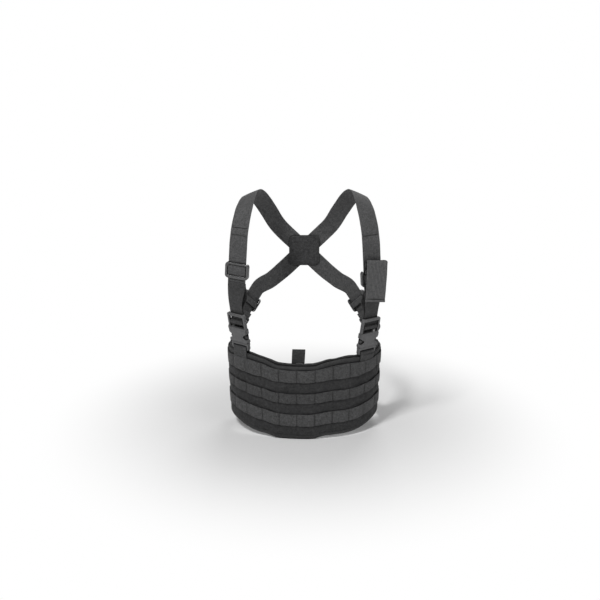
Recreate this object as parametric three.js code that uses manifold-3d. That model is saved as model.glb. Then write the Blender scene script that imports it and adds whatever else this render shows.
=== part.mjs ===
// Load-bearing harness vest: a three-row webbing chest panel carried by an X-back shoulder harness
// and closed behind the wearer by a waist belt.
//
// Frame: millimetres, +Z up, the wearer faces -Y, the wearer's left is +X.  Everything is built about the
// middle of the wearer's body at the height of the panel's lowest edge, and moved at the end so that the
// origin is the middle of the bounding box's bottom.
//
// Soft goods are webbing and sheets bent over the body's plan curve; buckles, adjusters and rings are
// moulded parts built in their own flat frame (X across the webbing, Y along it, Z outward) and then
// placed on the strap they belong to.

import * as THREE from "three";
import { mergeVertices } from "three/addons/utils/BufferGeometryUtils.js";
import Module from "manifold-3d";

const wasm = await Module();
wasm.setup();

// ---------------------------------------------------------------- driving dimensions
const BODY_A = 164.4; // half width of the panel's face over the body
const BODY_B = 107; // half depth of the panel's face over the body
const TAPER = 0.026; // share by which the waist is narrower at the panel's bottom than at its top
const PANEL_H = 161; // panel height at the front centre
const PANEL_S = 247; // half length of the panel along the body
const LIFT_TOP = 8.8; // how far the wings are drawn up at their top edge
const LIFT_BOTTOM = 21.5; // and at their bottom edge
const COLUMN = 38.1; // webbing column pitch
const CENTRE_S = -16.5; // where the panel's middle column line sits: it is worn a little to the wearer's right
const ROWS = [
  // name, bottom, top, in panel height
  ["webbing_row_bottom", 26.5, 54],
  ["webbing_row_middle", 77.5, 100],
  ["webbing_row_top", 124.5, 152],
];
const WEB = 38.1; // shoulder webbing width
const WEB_T = 1.6; // webbing thickness
const GAP = 0.3; // free gap between pieces that lie on each other
const TAB_S = { l: 140, r: 145.5 }; // where the buckle tabs sit along the panel, each side
const MOUTH_UP = 14.2; // from the plug's strap bar to the socket's mouth
const BAR_Z = { l: 173.5, r: 182.5 }; // height of the plug's strap bar, each side
const LADDER_TOP = 63; // from the socket's mouth to the end of its ladder
const PLANE_T = -2.8; // the buckles' middle plane, measured from the panel's face
const TAB_W = 27; // centre pull tab width

const v3 = (x, y, z) => new THREE.Vector3(x, y, z);

// ---------------------------------------------------------------- solids
function toSolid(geometry) {
  const g = geometry.index ? geometry : geometry.clone();
  const bare = new THREE.BufferGeometry().setAttribute("position", g.getAttribute("position").clone());
  if (g.index) bare.setIndex(g.index.clone());
  const m = mergeVertices(bare, 1e-3);
  const tri = new Uint32Array(m.index.array);
  let s = new wasm.Manifold(new wasm.Mesh({ numProp: 3, vertProperties: new Float32Array(m.attributes.position.array), triVerts: tri }));
  if (s.volume() < 0) {
    for (let i = 0; i < tri.length; i += 3) [tri[i + 1], tri[i + 2]] = [tri[i + 2], tri[i + 1]];
    s = new wasm.Manifold(new wasm.Mesh({ numProp: 3, vertProperties: new Float32Array(m.attributes.position.array), triVerts: tri }));
  }
  return s;
}
function toGeometry(solid) {
  const m = solid.getMesh(), n = m.numProp, v = new Float32Array(m.numVert * 3);
  for (let i = 0; i < m.numVert; i++) v.set(m.vertProperties.subarray(i * n, i * n + 3), i * 3);
  return new THREE.BufferGeometry().setAttribute("position", new THREE.BufferAttribute(v, 3)).setIndex(new THREE.BufferAttribute(new Uint32Array(m.triVerts), 1));
}

// A polygon given as [[x, y], ...]
const polygon = (pts) => new THREE.Shape(pts.map((p) => new THREE.Vector2(p[0], p[1])));
const rect = (x0, x1, y0, y1) => polygon([[x0, y0], [x1, y0], [x1, y1], [x0, y1]]);

// A rectangle with rounded corners
function roundRect(hw, y0, y1, r, n = 3) {
  const pts = [];
  const corner = (cx, cy, a0) => {
    for (let i = 0; i <= n; i++) {
      const a = a0 + (i / n) * (Math.PI / 2);
      pts.push([cx + r * Math.cos(a), cy + r * Math.sin(a)]);
    }
  };
  corner(hw - r, y1 - r, 0);
  corner(-hw + r, y1 - r, Math.PI / 2);
  corner(-hw + r, y0 + r, Math.PI);
  corner(hw - r, y0 + r, 1.5 * Math.PI);
  return pts;
}

// A profile in the moulded parts' frame, pushed out from z0 to z1
function plate(shape, z0, z1) {
  return toSolid(new THREE.ExtrudeGeometry(shape, { depth: z1 - z0, bevelEnabled: false }).translate(0, 0, z0));
}
const block = (x0, x1, y0, y1, z0, z1) => toSolid(new THREE.BoxGeometry(x1 - x0, y1 - y0, z1 - z0).translate((x0 + x1) / 2, (y0 + y1) / 2, (z0 + z1) / 2));

// A profile carried along stations: map(station index, profile x, profile y) gives the place
function carried(shape, stations, map) {
  const g = new THREE.ExtrudeGeometry(shape, { depth: 1, steps: stations - 1, bevelEnabled: false });
  const p = g.getAttribute("position"), q = new THREE.Vector3();
  for (let i = 0; i < p.count; i++) {
    q.copy(map(Math.round(p.getZ(i) * (stations - 1)), p.getX(i), p.getY(i)));
    p.setXYZ(i, q.x, q.y, q.z);
  }
  return toSolid(g);
}

// ---------------------------------------------------------------- the body's plan curve
// s runs along the face's plan curve from the front centre, positive to the wearer's left.
const PLAN = (() => {
  const n = 4000, S = [0], X = [0], Y = [-BODY_B];
  for (let i = 1; i <= n; i++) {
    const u = (i / n) * Math.PI;
    X.push(BODY_A * Math.sin(u));
    Y.push(-BODY_B * Math.cos(u));
    S.push(S[i - 1] + Math.hypot(X[i] - X[i - 1], Y[i] - Y[i - 1]));
  }
  return { S, n, half: S[n] };
})();
function planAt(s) {
  const sign = s < 0 ? -1 : 1, d = Math.abs(s), S = PLAN.S;
  let lo = 0, hi = PLAN.n;
  while (hi - lo > 1) {
    const mid = (lo + hi) >> 1;
    if (S[mid] <= d) lo = mid; else hi = mid;
  }
  const u = ((lo + (d - S[lo]) / (S[hi] - S[lo])) / PLAN.n) * Math.PI;
  const nx = Math.sin(u) / BODY_A, ny = -Math.cos(u) / BODY_B, l = Math.hypot(nx, ny);
  return { x: sign * BODY_A * Math.sin(u), y: -BODY_B * Math.cos(u), nx: (sign * nx) / l, ny: ny / l };
}
const smooth = (t) => { const c = Math.min(1, Math.max(0, t)); return c * c * (3 - 2 * c); };
// How the worn panel hangs: its middle sags between two creases and its sides are drawn up towards the buckles
function drape(s, h) {
  const middle = 1 - smooth((Math.abs(s + 20) - 34) / 36), top = smooth((h - 124.5) / 30), low = smooth((20 - h) / 20);
  const right = Math.exp(-(((s + 122) / 48) ** 2)), left = Math.exp(-(((s - 88) / 38) ** 2));
  return -4.5 * middle + right * (4.5 + 4.5 * top) + left * (0.5 + 5.5 * top) - low * (1.5 * middle + 3.5 * right);
}
// A point of the panel: s along the body, h up the panel, t out from the face.  The panel is a chain of
// flat facets, two to a webbing column, so that its layers lie parallel.
const FACET = COLUMN / 2;
function station(i, h, t) {
  const s = CENTRE_S + i * FACET, p = planAt(s), k = 1 - TAPER * (1 - h / PANEL_H);
  const g = smooth((Math.abs(s) - 90) / 115), down = Math.max(0, 1 - h / PANEL_H);
  return v3((p.x + p.nx * t) * k, (p.y + p.ny * t) * k, h + drape(s, h) + g * (LIFT_TOP + (LIFT_BOTTOM - LIFT_TOP) * Math.pow(down, 1.3)));
}
function panelPoint(s, h, t) {
  const u = (s - CENTRE_S) / FACET, i = Math.floor(u + 1e-6);
  return station(i, h, t).lerp(station(i + 1, h, t), u - i);
}
function panelStops(s0, s1) {
  const lo = Math.min(s0, s1), hi = Math.max(s0, s1), out = [lo];
  for (let i = Math.floor((lo - CENTRE_S) / FACET); CENTRE_S + i * FACET < hi - 0.4; i++) if (CENTRE_S + i * FACET > lo + 0.4) out.push(CENTRE_S + i * FACET);
  out.push(hi);
  return out;
}
// A sheet of the panel between two s, with a profile in (t, h)
function panelStrip(profile, s0, s1) {
  const stops = panelStops(s0, s1);
  return carried(polygon(profile), stops.length, (i, t, h) => panelPoint(stops[i], h, t));
}

// ---------------------------------------------------------------- strap paths
// A path is a list of knots {p, n, m}: place, outward normal and, where it matters, direction.
// Between two knots that share the direction of their chord and their normal the webbing is straight and flat.
function strapPath(knots, per = 5) {
  const k = knots.map((q) => ({ p: q.p, n: q.n.clone().normalize(), m: q.m, per: q.per }));
  k.forEach((q, i) => {
    if (!q.m) {
      const a = k[Math.max(0, i - 1)].p, b = k[Math.min(k.length - 1, i + 1)].p;
      q.m = b.clone().sub(a);
    }
    q.m = q.m.clone().normalize();
  });
  const out = [];
  for (let i = 0; i + 1 < k.length; i++) {
    const a = k[i], b = k[i + 1], L = a.p.distanceTo(b.p);
    const n = a.per ?? per;
    for (let j = 0; j < n + (i + 2 === k.length ? 1 : 0); j++) {
      const t = j / n, t2 = t * t, t3 = t2 * t;
      const p = a.p.clone().multiplyScalar(2 * t3 - 3 * t2 + 1).addScaledVector(a.m, (t3 - 2 * t2 + t) * L).addScaledVector(b.p, -2 * t3 + 3 * t2).addScaledVector(b.m, (t3 - t2) * L);
      const T = a.p.clone().multiplyScalar(6 * t2 - 6 * t).addScaledVector(a.m, (3 * t2 - 4 * t + 1) * L).addScaledVector(b.p, -6 * t2 + 6 * t).addScaledVector(b.m, (3 * t2 - 2 * t) * L).normalize();
      const w = smooth(t);
      const nn = a.n.clone().lerp(b.n, w);
      nn.addScaledVector(T, -nn.dot(T)).normalize();
      out.push({ p, T, n: nn, w: T.clone().cross(nn) });
    }
  }
  return out;
}
// Webbing of width w and thickness th along a path's frames; the profile is in (across, out)
function webbing(frames, width, th = WEB_T) {
  return carried(rect(-width / 2, width / 2, -th / 2, th / 2), frames.length, (i, a, o) => {
    const f = frames[i];
    return f.p.clone().addScaledVector(f.w, a).addScaledVector(f.n, o);
  });
}
// Webbing that lies on the panel at one end and is flat at the other.  Stations are either {h, t}: on the
// panel, following its facets, facing out (o = 1) or in (o = -1); or {p, w, n}: flat, with its own frame.
function sewnWebbing(stations, s0, width, th = WEB_T) {
  const stops = [-width / 2];
  const lo = s0 - width / 2, hi = s0 + width / 2;
  for (const q of panelStops(lo, hi).slice(1, -1)) if (q > lo + 1 && q < hi - 1) stops.push(q - s0);
  stops.push(width / 2);
  const half = (x) => th / 2 - (Math.abs(x) < width / 2 ? 0.01 : 0); // never quite straight, so that the ends are cut facet by facet
  const shape = polygon([...stops.map((x) => [x, -half(x)]), ...stops.slice().reverse().map((x) => [x, half(x)])]);
  return carried(shape, stations.length, (i, a, o) => {
    const f = stations[i];
    if (f.h !== undefined) return panelPoint(s0 + a, f.h + (f.dh ?? 0) * o, f.t + f.o * o);
    return f.p.clone().addScaledVector(f.w, a).addScaledVector(f.n, o);
  });
}
// Frames for a run of places that share one across direction
function runFrames(points, w, before, after) {
  const all = [before ?? points[0], ...points, after ?? points[points.length - 1]];
  return points.map((p, i) => {
    const d0 = p.clone().sub(all[i]), d1 = all[i + 2].clone().sub(p);
    if (d0.lengthSq() < 1e-9) d0.copy(d1);
    if (d1.lengthSq() < 1e-9) d1.copy(d0);
    d0.normalize(); d1.normalize();
    const T = d0.clone().add(d1).normalize();
    const ww = w.clone().addScaledVector(T, -w.dot(T)).normalize();
    return { p, T, w: ww, n: ww.clone().cross(T).multiplyScalar(1 / Math.max(0.72, T.dot(d0))) };
  });
}

// A flat path inside a moulded part's frame: points [[y, z], ...] bent with small fillets, webbing across x
function localWebbing(points, width, th = WEB_T) {
  const P = points.map((p) => new THREE.Vector2(p[0], p[1]));
  const N = P.map((p, i) => {
    const a = P[Math.max(0, i - 1)], b = P[Math.min(P.length - 1, i + 1)];
    const d0 = p.clone().sub(a), d1 = b.clone().sub(p);
    if (d0.lengthSq() < 1e-12) d0.copy(d1);
    if (d1.lengthSq() < 1e-12) d1.copy(d0);
    d0.normalize(); d1.normalize();
    const d = d0.clone().add(d1).normalize(), c = Math.max(0.6, d.dot(d0));
    return new THREE.Vector2(-d.y, d.x).multiplyScalar(1 / c);
  });
  return carried(rect(-width / 2, width / 2, -th / 2, th / 2), P.length, (i, a, o) => v3(a, P[i].x + N[i].x * o, P[i].y + N[i].y * o));
}
function basis(p, w, T, n) {
  return new THREE.Matrix4().makeBasis(w, T, n).setPosition(p);
}

// ---------------------------------------------------------------- moulded parts, in their own frame
// Socket of the side-release buckle: mouth at y 0, ladder up to LADDER_TOP.
function socket() {
  const half = [
    [24.6, 0], [25.4, 3], [24.6, 6.4], [20.6, 7.8], [16.8, 10], [15.2, 12.6], [16.2, 15.2], [19.8, 17.2], [23.2, 18.6], [24.4, 21], [24.6, 29.6], [22, 31.5],
  ];
  const outline = [...half, ...half.slice().reverse().map(([x, y]) => [-x, y])];
  let body = plate(polygon(outline), -5.6, 5.6);
  body = body.subtract(block(-20.6, 20.6, -1, 25.5, -3, 3)); // the plug's cavity
  body = body.subtract(block(-30, 30, 7.8, 17.2, -3, 3)); // and its way out at the sides
  // softened front and back at the mouth and the ladder end
  for (const z of [1, -1]) {
    body = body.subtract(toSolid(new THREE.BoxGeometry(70, 8, 8).rotateX((z * 38 * Math.PI) / 180).translate(0, -2.6, z * 8.6)));
    body = body.subtract(toSolid(new THREE.BoxGeometry(70, 8, 8).rotateX((-z * 30 * Math.PI) / 180).translate(0, 33.9, z * 8.1)));
  }
  const frame = polygon(roundRect(25.2, 27.5, LADDER_TOP, 4));
  frame.holes.push(new THREE.Path(roundRect(20.6, 31.5, LADDER_TOP - 6.4, 1.2, 2).map(([x, y]) => new THREE.Vector2(x, y))));
  let ladder = plate(frame, -2.6, 3.4);
  ladder = ladder.subtract(block(-20.6, 20.6, LADDER_TOP - 7, LADDER_TOP + 1, -4, -0.3)); // room for webbing behind the end bar
  const bar = plate(rect(-21.5, 21.5, 40, 45), -1.5, 1.5);
  return body.add(ladder).add(bar);
}
// Plug: strap bar frame below the mouth, middle guide above it. The latch arms are separate.
function plug() {
  const frame = polygon([[23.6, -0.5], [24.4, -4], [24.4, -13.5], [22, -17], [-22, -17], [-24.4, -13.5], [-24.4, -4], [-23.6, -0.5]]);
  frame.holes.push(new THREE.Path([[20.2, -12.4], [20.2, -6.8], [-20.2, -6.8], [-20.2, -12.4]].map(([x, y]) => new THREE.Vector2(x, y))));
  let p = plate(frame, -3.4, 3.4);
  p = p.add(plate(polygon([[4.6, -1], [4.2, 18.5], [2.6, 22.3], [-2.6, 22.3], [-4.2, 18.5], [-4.6, -1]]), -1.7, 1.7));
  // pockets where the latch arms are rooted
  for (const x of [1, -1]) p = p.subtract(block(x > 0 ? 9.6 : -19.4, x > 0 ? 19.4 : -9.6, -5.9, 0, -2.9, 2.9));
  return p;
}
// One latch arm, for the +X side
function arm(sign) {
  const pts = [
    [10.4, -4.9], [16.2, -4.9], [16.6, 1.8], [18, 7.8], [22.6, 8.7], [23.4, 11.2], [22.2, 14], [19.2, 17.4], [16.6, 21.2], [14.8, 22.2], [13.4, 21.2], [14, 15.8], [14.2, 9.8], [12.8, 3.4],
  ];
  return plate(polygon(pts.map(([x, y]) => [sign * x, y])), -2.5, 2.5);
}
// Three-bar slider: outer bars in front of the webbing, middle bar behind it, so that it slides along a flat strap.
function slider(hw = 25, y0 = -17, y1 = 16.4) {
  const inner = WEB / 2 + 1.2;
  const ring = polygon(roundRect(hw, y0, y1, 6.5, 5));
  ring.holes.push(new THREE.Path(roundRect(inner, y0 + 5.8, y1 - 3.8, 1.4, 2).map(([x, y]) => new THREE.Vector2(x, y))));
  const all = plate(ring, -4.4, 4);
  const bars = all.subtract(block(-inner, inner, -40, 0, -6, WEB_T / 2 + 0.5)).subtract(block(-inner, inner, 0, 40, -6, 2.2));
  return bars.add(plate(rect(-inner - 0.6, inner + 0.6, -3, 3), -4.4, -WEB_T / 2 - 0.5));
}
// Webbing round a slider's middle bar, its end hanging behind the strap
const sliderLoop = (tail = -13.5) => localWebbing([[tail, -6.2], [-4.4, -6.2], [0, -6.1], [3, -5.9], [4.3, -4.6], [4.45, -3.1], [3.9, -2]], WEB - 1, 1.2);
// Rectangular ring: two long bars and two short ends
function ring(hw = 24.2) {
  const outer = polygon(roundRect(hw, -8.4, 8.4, 3.6, 3));
  outer.holes.push(new THREE.Path(roundRect(hw - 4.2, -4.4, 4.4, 1.2, 2).map(([x, y]) => new THREE.Vector2(x, y))));
  return plate(outer, -2, 2);
}

// ---------------------------------------------------------------- assembly
const vest = new THREE.Group();
const CLOTH = 0x2c2c2e, WEBBING = 0x38383a, PLASTIC = 0x3a3b3d, LINER = 0x202022, FOAM = 0x18181a;
function put(name, solid, colour, roughness, place) {
  const mesh = new THREE.Mesh(toGeometry(solid), new THREE.MeshStandardMaterial({ color: colour, roughness, metalness: 0 }));
  mesh.name = name;
  if (place) mesh.applyMatrix4(place);
  vest.add(mesh);
  return mesh;
}

// Panel: liner, foam sheet and face, bound at the edges, with three rows of webbing
put("panel_face", panelStrip([[-1.2, 0.4], [0, 0.4], [0, PANEL_H - 0.4], [-1.2, PANEL_H - 0.4]], -PANEL_S + 0.4, PANEL_S - 0.4), CLOTH, 0.9);
put("panel_foam", panelStrip([[-4.5, 9], [-1.5, 9], [-1.5, PANEL_H - 22], [-4.5, PANEL_H - 22]], -PANEL_S + 10, PANEL_S - 10), FOAM, 0.95);
put("panel_liner", panelStrip([[-6, 0.4], [-4.8, 0.4], [-4.8, PANEL_H - 0.4], [-6, PANEL_H - 0.4]], -PANEL_S + 0.4, PANEL_S - 0.4), LINER, 0.95);
// pocket closure tapes between face and liner, along the top
put("pocket_loop_tape", panelStrip([[-2.9, PANEL_H - 18], [-1.5, PANEL_H - 18], [-1.5, PANEL_H - 2], [-2.9, PANEL_H - 2]], -95, 95), LINER, 0.95);
put("pocket_hook_tape", panelStrip([[-4.5, PANEL_H - 18], [-3.2, PANEL_H - 18], [-3.2, PANEL_H - 2], [-4.5, PANEL_H - 2]], -95, 95), LINER, 0.95);
// edge binding, folded over the edge of all the layers
const bindTop = PANEL_H + 1.2;
put("edge_binding_top", panelStrip([[-7.2, PANEL_H - 6.5], [-6.3, PANEL_H - 6.5], [-6.3, PANEL_H], [0.3, PANEL_H], [0.3, PANEL_H - 6.5], [1.2, PANEL_H - 6.5], [1.2, bindTop], [-7.2, bindTop]], -PANEL_S + 0.4, PANEL_S - 0.4), CLOTH, 0.85);
put("edge_binding_bottom", panelStrip([[-7.2, -1.2], [1.2, -1.2], [1.2, 6.5], [0.3, 6.5], [0.3, 0], [-6.3, 0], [-6.3, 6.5], [-7.2, 6.5]], -PANEL_S + 0.4, PANEL_S - 0.4), CLOTH, 0.85);
for (const [side, sg] of [["l", 1], ["r", -1]]) {
  const w = panelStrip([[-7.2, -1.2], [1.2, -1.2], [1.2, bindTop], [-7.2, bindTop]], sg * (PANEL_S - 0.1), sg * (PANEL_S + 1.2));
  put("edge_binding_end_" + side, w, CLOTH, 0.85);
}
for (const [name, h0, h1] of ROWS)
  put(name, panelStrip([[2.5, h0], [4, h0], [4, h1], [2.5, h1]], -PANEL_S + 3, PANEL_S - 3), WEBBING, 0.9);

// Centre pull tab: a folded loop of webbing behind the top edge, standing on its sewn base
const TAB_HINGE = PANEL_H + 3.4;
{
  const T0 = -8.5;
  put("pull_tab_base", panelStrip([[T0 - 0.7, PANEL_H - 34], [T0 + 0.7, PANEL_H - 34], [T0 + 0.7, TAB_HINGE - 0.5], [T0 - 0.7, TAB_HINGE - 0.5]], CENTRE_S + 2 - TAB_W / 2, CENTRE_S + 2 + TAB_W / 2), WEBBING, 0.9);
  // loop in (up, towards the front)
  const at = panelPoint(CENTRE_S + 2, TAB_HINGE, T0), on = planAt(CENTRE_S + 2), out = v3(on.nx, on.ny, 0), upward = v3(0, 0, 1);
  const tabFrame = basis(at, upward.clone().cross(out), upward, out);
  const top = 28.5;
  const pts = [[0.4, 0], [10, 0], [20, 0.2], [top - 4, 0.4], [top - 1.2, 1.2], [top - 0.2, 3.2], [top - 1.2, 5.2], [top - 4, 6], [18, 4.6], [8, 2.5], [1.2, 1.8]];
  put("pull_tab", localWebbing(pts, TAB_W, 1.2), WEBBING, 0.9, tabFrame);
}

// ---- harness geometry for one side; sg is +1 for the wearer's left shoulder
function sideFrames(sg) {
  const side = sg > 0 ? "l" : "r", p = panelPoint(sg * TAB_S[side], PANEL_H, PLANE_T), q = planAt(sg * TAB_S[side]);
  const T = v3(sg * 0.125, -0.09, 1).normalize();
  const n = v3(q.nx, q.ny, 0);
  n.addScaledVector(T, -n.dot(T)).normalize();
  const bar = v3(p.x, p.y, BAR_Z[side]);
  return { T, n, w: T.clone().cross(n), mouth: bar.clone().addScaledVector(T, MOUTH_UP), bar };
}
const nAz = (sg, az, up = 0) => v3(sg * Math.sin((az * Math.PI) / 180) * Math.cos((up * Math.PI) / 180), -Math.cos((az * Math.PI) / 180) * Math.cos((up * Math.PI) / 180), Math.sin((up * Math.PI) / 180));

const CROSS_Z = 352, BACK_Y = 118;

for (const [side, sg] of [["l", 1], ["r", -1]]) {
  const f = sideFrames(sg);
  const M = basis(f.mouth, f.w, f.T, f.n);
  put("buckle_socket_" + side, socket(), PLASTIC, 0.45, M);
  put("buckle_plug_" + side, plug(), PLASTIC, 0.45, M);
  put("latch_arm_" + side + "_a", arm(1), PLASTIC, 0.45, M);
  put("latch_arm_" + side + "_b", arm(-1), PLASTIC, 0.45, M);

  // buckle tab: webbing straddling the panel's top edge and looped round the plug's bar
  {
    const L = (y, z) => f.mouth.clone().addScaledVector(f.T, y).addScaledVector(f.n, z);
    const round = [[-18.6, 4.9], [-16.4, 4.6], [-12.2, 4.6], [-10.5, 2.9], [-10.2, 0], [-10.5, -2.9], [-12.2, -4.6], [-16.4, -4.6], [-18.6, -4.9]].map(([y, z]) => L(y, z));
    const frames = runFrames(round, f.w, panelPoint(sg * TAB_S[side], PANEL_H, 2.4), panelPoint(sg * TAB_S[side], PANEL_H, -8.6));
    put("buckle_tab_" + side, sewnWebbing([
      { h: 140, t: 1.62, o: 1 }, { h: 151.4, t: 1.55, o: 1, dh: -0.2 }, { h: 154.4, t: 2.5, o: 1, dh: -0.2 }, { h: PANEL_H + 1.8, t: 2.5, o: 1 },
      ...frames,
      { h: PANEL_H + 1.8, t: -8.7, o: -1 }, { h: 120, t: -8.6, o: -1 },
    ], sg * TAB_S[side], WEB, 1.4), WEBBING, 0.9);
  }

  // shoulder webbing: flat and straight where the slider runs, over the shoulder, across the back
  const s0 = sg > 0 ? v3(139.2, -82.6, 316) : v3(-138.4, -84, 331), s1 = v3(sg * 133.4, -91, 405);
  const sd = s1.clone().sub(s0).normalize();
  const sn = nAz(sg, 17, 5);
  sn.addScaledVector(sd, -sn.dot(sd)).normalize();
  const by = BACK_Y + (sg > 0 ? 2.2 : 0), cd = v3(-sg * 0.72, 0, -0.69).normalize();
  const c0 = v3(0, by, CROSS_Z).addScaledVector(cd, -52), c1 = v3(0, by, CROSS_Z).addScaledVector(cd, 52);
  const back = v3(0, 1, 0);
  // straight run to the ring on the other side's wing, where the rear slider travels
  const wing = -sg;
  const q0 = panelPoint(wing * 318, 252, -3), q1 = panelPoint(wing * 276, 206, -3), qn = planAt(wing * 297);
  const rd = q1.clone().sub(q0).normalize();
  const rn = v3(qn.nx, qn.ny, 0);
  rn.addScaledVector(rd, -rn.dot(rd)).normalize();
  const ringAt = q1.clone().addScaledVector(rn, 2);
  const R = (y, z) => ringAt.clone().addScaledVector(rd, y).addScaledVector(rn, z);
  const r0 = R(-74, 3.1), r1 = R(-5.4, 3.1);
  const knots = [
    { p: s0, n: sn, m: sd, per: 2 },
    { p: s1, n: sn, m: sd },
    { p: v3(sg * 129.6, -88.5, 441), n: nAz(sg, 20, 24) },
    { p: v3(sg * 123.4, -72, 473), n: nAz(sg, 26, 46) },
    { p: v3(sg * 117.6, -47, 492), n: v3(sg * 0.4, -0.45, 0.82) },
    { p: v3(sg * 112.5, -14, 500), n: v3(sg * 0.4, -0.02, 0.9) },
    { p: v3(sg * 105, 22, 495.5), n: v3(sg * 0.38, 0.35, 0.88) },
    { p: v3(sg * 93.5, 56, 478), n: v3(sg * 0.32, 0.66, 0.7) },
    { p: v3(sg * 77, 88, 446), n: v3(sg * 0.2, 0.9, 0.42) },
    { p: v3(sg * 60, 108, 414), n: v3(sg * 0.08, 0.98, 0.16) },
    { p: c0, n: back, m: cd, per: 2 },
    { p: c1, n: back, m: cd },
    { p: v3(-sg * 74, 109, 287), n: v3(-sg * 0.34, 0.94, -0.02) },
    { p: r0, n: rn, m: rd, per: 2 },
    { p: r1, n: rn, m: rd },
  ];
  const path = strapPath(knots, 5);
  // the end turns round the ring's bar and lies back under itself
  const end = path[path.length - 1];
  const turn = [[-4.4, 3.1], [-2.75, 1.7], [-2.65, 0], [-2.75, -1.7], [-4.4, -3.1], [-9, -3.2], [-19, -3.2]].map(([y, z]) => ({ p: R(y, z) }));
  // frames for the turn: across stays, out follows the path
  const all = [end, ...turn];
  turn.forEach((q, i) => {
    const a = all[i].p, b = (all[i + 2] ?? all[i + 1]).p;
    const T = b.clone().sub(a).normalize();
    q.w = end.w.clone();
    q.n = q.w.clone().cross(T).normalize();
  });
  put("shoulder_strap_" + side, webbing([...path, ...turn], WEB), WEBBING, 0.9);

  // front slider on the straight run, with the sewn loop of webbing round its middle bar
  const mid = s0.clone().addScaledVector(sd, 24);
  const MS = basis(mid, sd.clone().cross(sn), sd, sn);
  put("slider_front_" + side, slider(), PLASTIC, 0.35, MS);
  put("slider_loop_" + side, sliderLoop(), WEBBING, 0.9, MS);
  if (sg > 0) {
    // ribbed elastic cover: a loop round the slider's top bar, folded over and hanging in front
    const W = 44;
    const anchor = [[20.6, 6.6], [16, 5.6], [12.4, 5.3], [11.2, 4.4], [11.0, 3.2], [11.2, 1.95], [12.6, 1.55], [19, 1.6], [24, 3.2], [30, 6.2], [34.6, 8.6], [36.6, 9.8]];
    put("cover_loop", localWebbing(anchor, WEB - 2, 0.8), WEBBING, 0.9, MS);
    const flap = [[38.2, 10.9], [38.8, 12.2], [37.2, 13.5], [32, 13.8], [10, 14.6], [-20, 15], [-43, 14.4]];
    // it hangs a little askew: its lower end swings to the wearer's right and its edges slope
    const MF = MS.clone().multiply(new THREE.Matrix4().set(1, 0.1, 0, 2.6, -0.18, 1, 0, 0, 0, 0, 1, 0, 0, 0, 0, 1));
    put("cover_flap", localWebbing(flap, W, 1.6), WEBBING, 0.9, MF);
    put("cover_hem", localWebbing([[-43.4, 14.38], [-47.4, 14.3]], W, 2.6), WEBBING, 0.9, MF);
  }

  // lower strap: from the slider down, over the socket's ladder bar, and back up behind itself
  {
    const L = (y, z) => f.mouth.clone().addScaledVector(f.T, y).addScaledVector(f.n, z);
    const topF = s0.clone().addScaledVector(sd, -0.4), topR = s0.clone().addScaledVector(sd, -0.4).addScaledVector(sn, -2.6);
    const down = sd.clone().negate();
    // the descending layer's frames
    const frontPath = strapPath([
      { p: topF, n: sn, m: down },
      { p: L(LADDER_TOP + 14, -1.9), n: f.n, m: f.T.clone().negate(), per: 1 },
      { p: L(LADDER_TOP - 6, -1.7), n: f.n, m: f.T.clone().negate(), per: 1 },
    ], 6);
    const bend = [[51.6, -0.6], [48.4, 1.6], [45.6, 2.75], [40, 2.75], [37.9, 1.9], [37.1, 0], [37.9, -1.9], [40, -2.75], [45.6, -2.75], [50, -3.4], [56, -4.4]].map(([y, z]) => ({ p: L(y, z), w: f.w.clone() }));
    // the rising layer hangs slack, bowed towards the body
    const bow = L(LADDER_TOP + 12, -4.9).lerp(topR, 0.46).addScaledVector(f.n, -5.2).addScaledVector(sn, -4.2);
    const rearPath = strapPath([
      { p: L(LADDER_TOP + 3, -4.5), n: f.n.clone().negate(), m: f.T, per: 1 },
      { p: L(LADDER_TOP + 12, -4.9), n: f.n.clone().negate(), m: f.T.clone().addScaledVector(f.n, -0.12) },
      { p: bow, n: f.n.clone().add(sn).negate() },
      { p: topR.clone().addScaledVector(sd, -2), n: sn.clone().negate(), m: sd },
    ], 5);
    const w0 = frontPath[frontPath.length - 1].w.clone(); // across, for a layer that runs down
    const all2 = [...frontPath.slice(-1), ...bend, rearPath[0]];
    bend.forEach((q, i) => {
      const T = all2[i + 2].p.clone().sub(all2[i].p).normalize();
      q.w = w0.clone();
      q.n = q.w.clone().cross(T).normalize();
    });
    // the rising layer faces the other way, so its across direction is the same as the descending one's
    put("lower_strap_" + side, webbing([...frontPath, ...bend, ...rearPath], WEB), WEBBING, 0.9);
    // the free end hangs behind the buckle
    put("strap_tail_" + side, webbing(runFrames([[57, -6.9], [44, -7.2], [22, -7.6], [3, -8], [-8, -8.8]].map(([y, z]) => L(y, z)), w0), WEB), WEBBING, 0.9);
  }

  // rear ring, its tab on the panel's wing, and the rear slider
  const wingSide = wing > 0 ? "l" : "r";
  put("rear_ring_" + wingSide, ring(), PLASTIC, 0.4, basis(ringAt, rd.clone().cross(rn), rd, rn));
  {
    const up = rd.clone().negate(), MB = basis(R(-43, 3.1), up.clone().cross(rn), up, rn);
    put("slider_rear_" + wingSide, slider(), PLASTIC, 0.35, MB);
    put("slider_loop_rear_" + wingSide, sliderLoop(-8), WEBBING, 0.9, MB);
    // tab: sewn inside the wing, up to the ring's lower bar, round it and back
    const on = (s, h, t) => panelPoint(wing * s, h, t);
    const round = [[30, -2.6], [14, -3.2], [8.6, -3.1], [4.5, -3.05], [2.85, -1.7], [2.75, 0], [2.85, 1.7], [4.5, 3.05], [8.8, 3.1], [15, 1.9], [21, 0.4]].map(([y, z]) => R(y, z));
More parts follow.
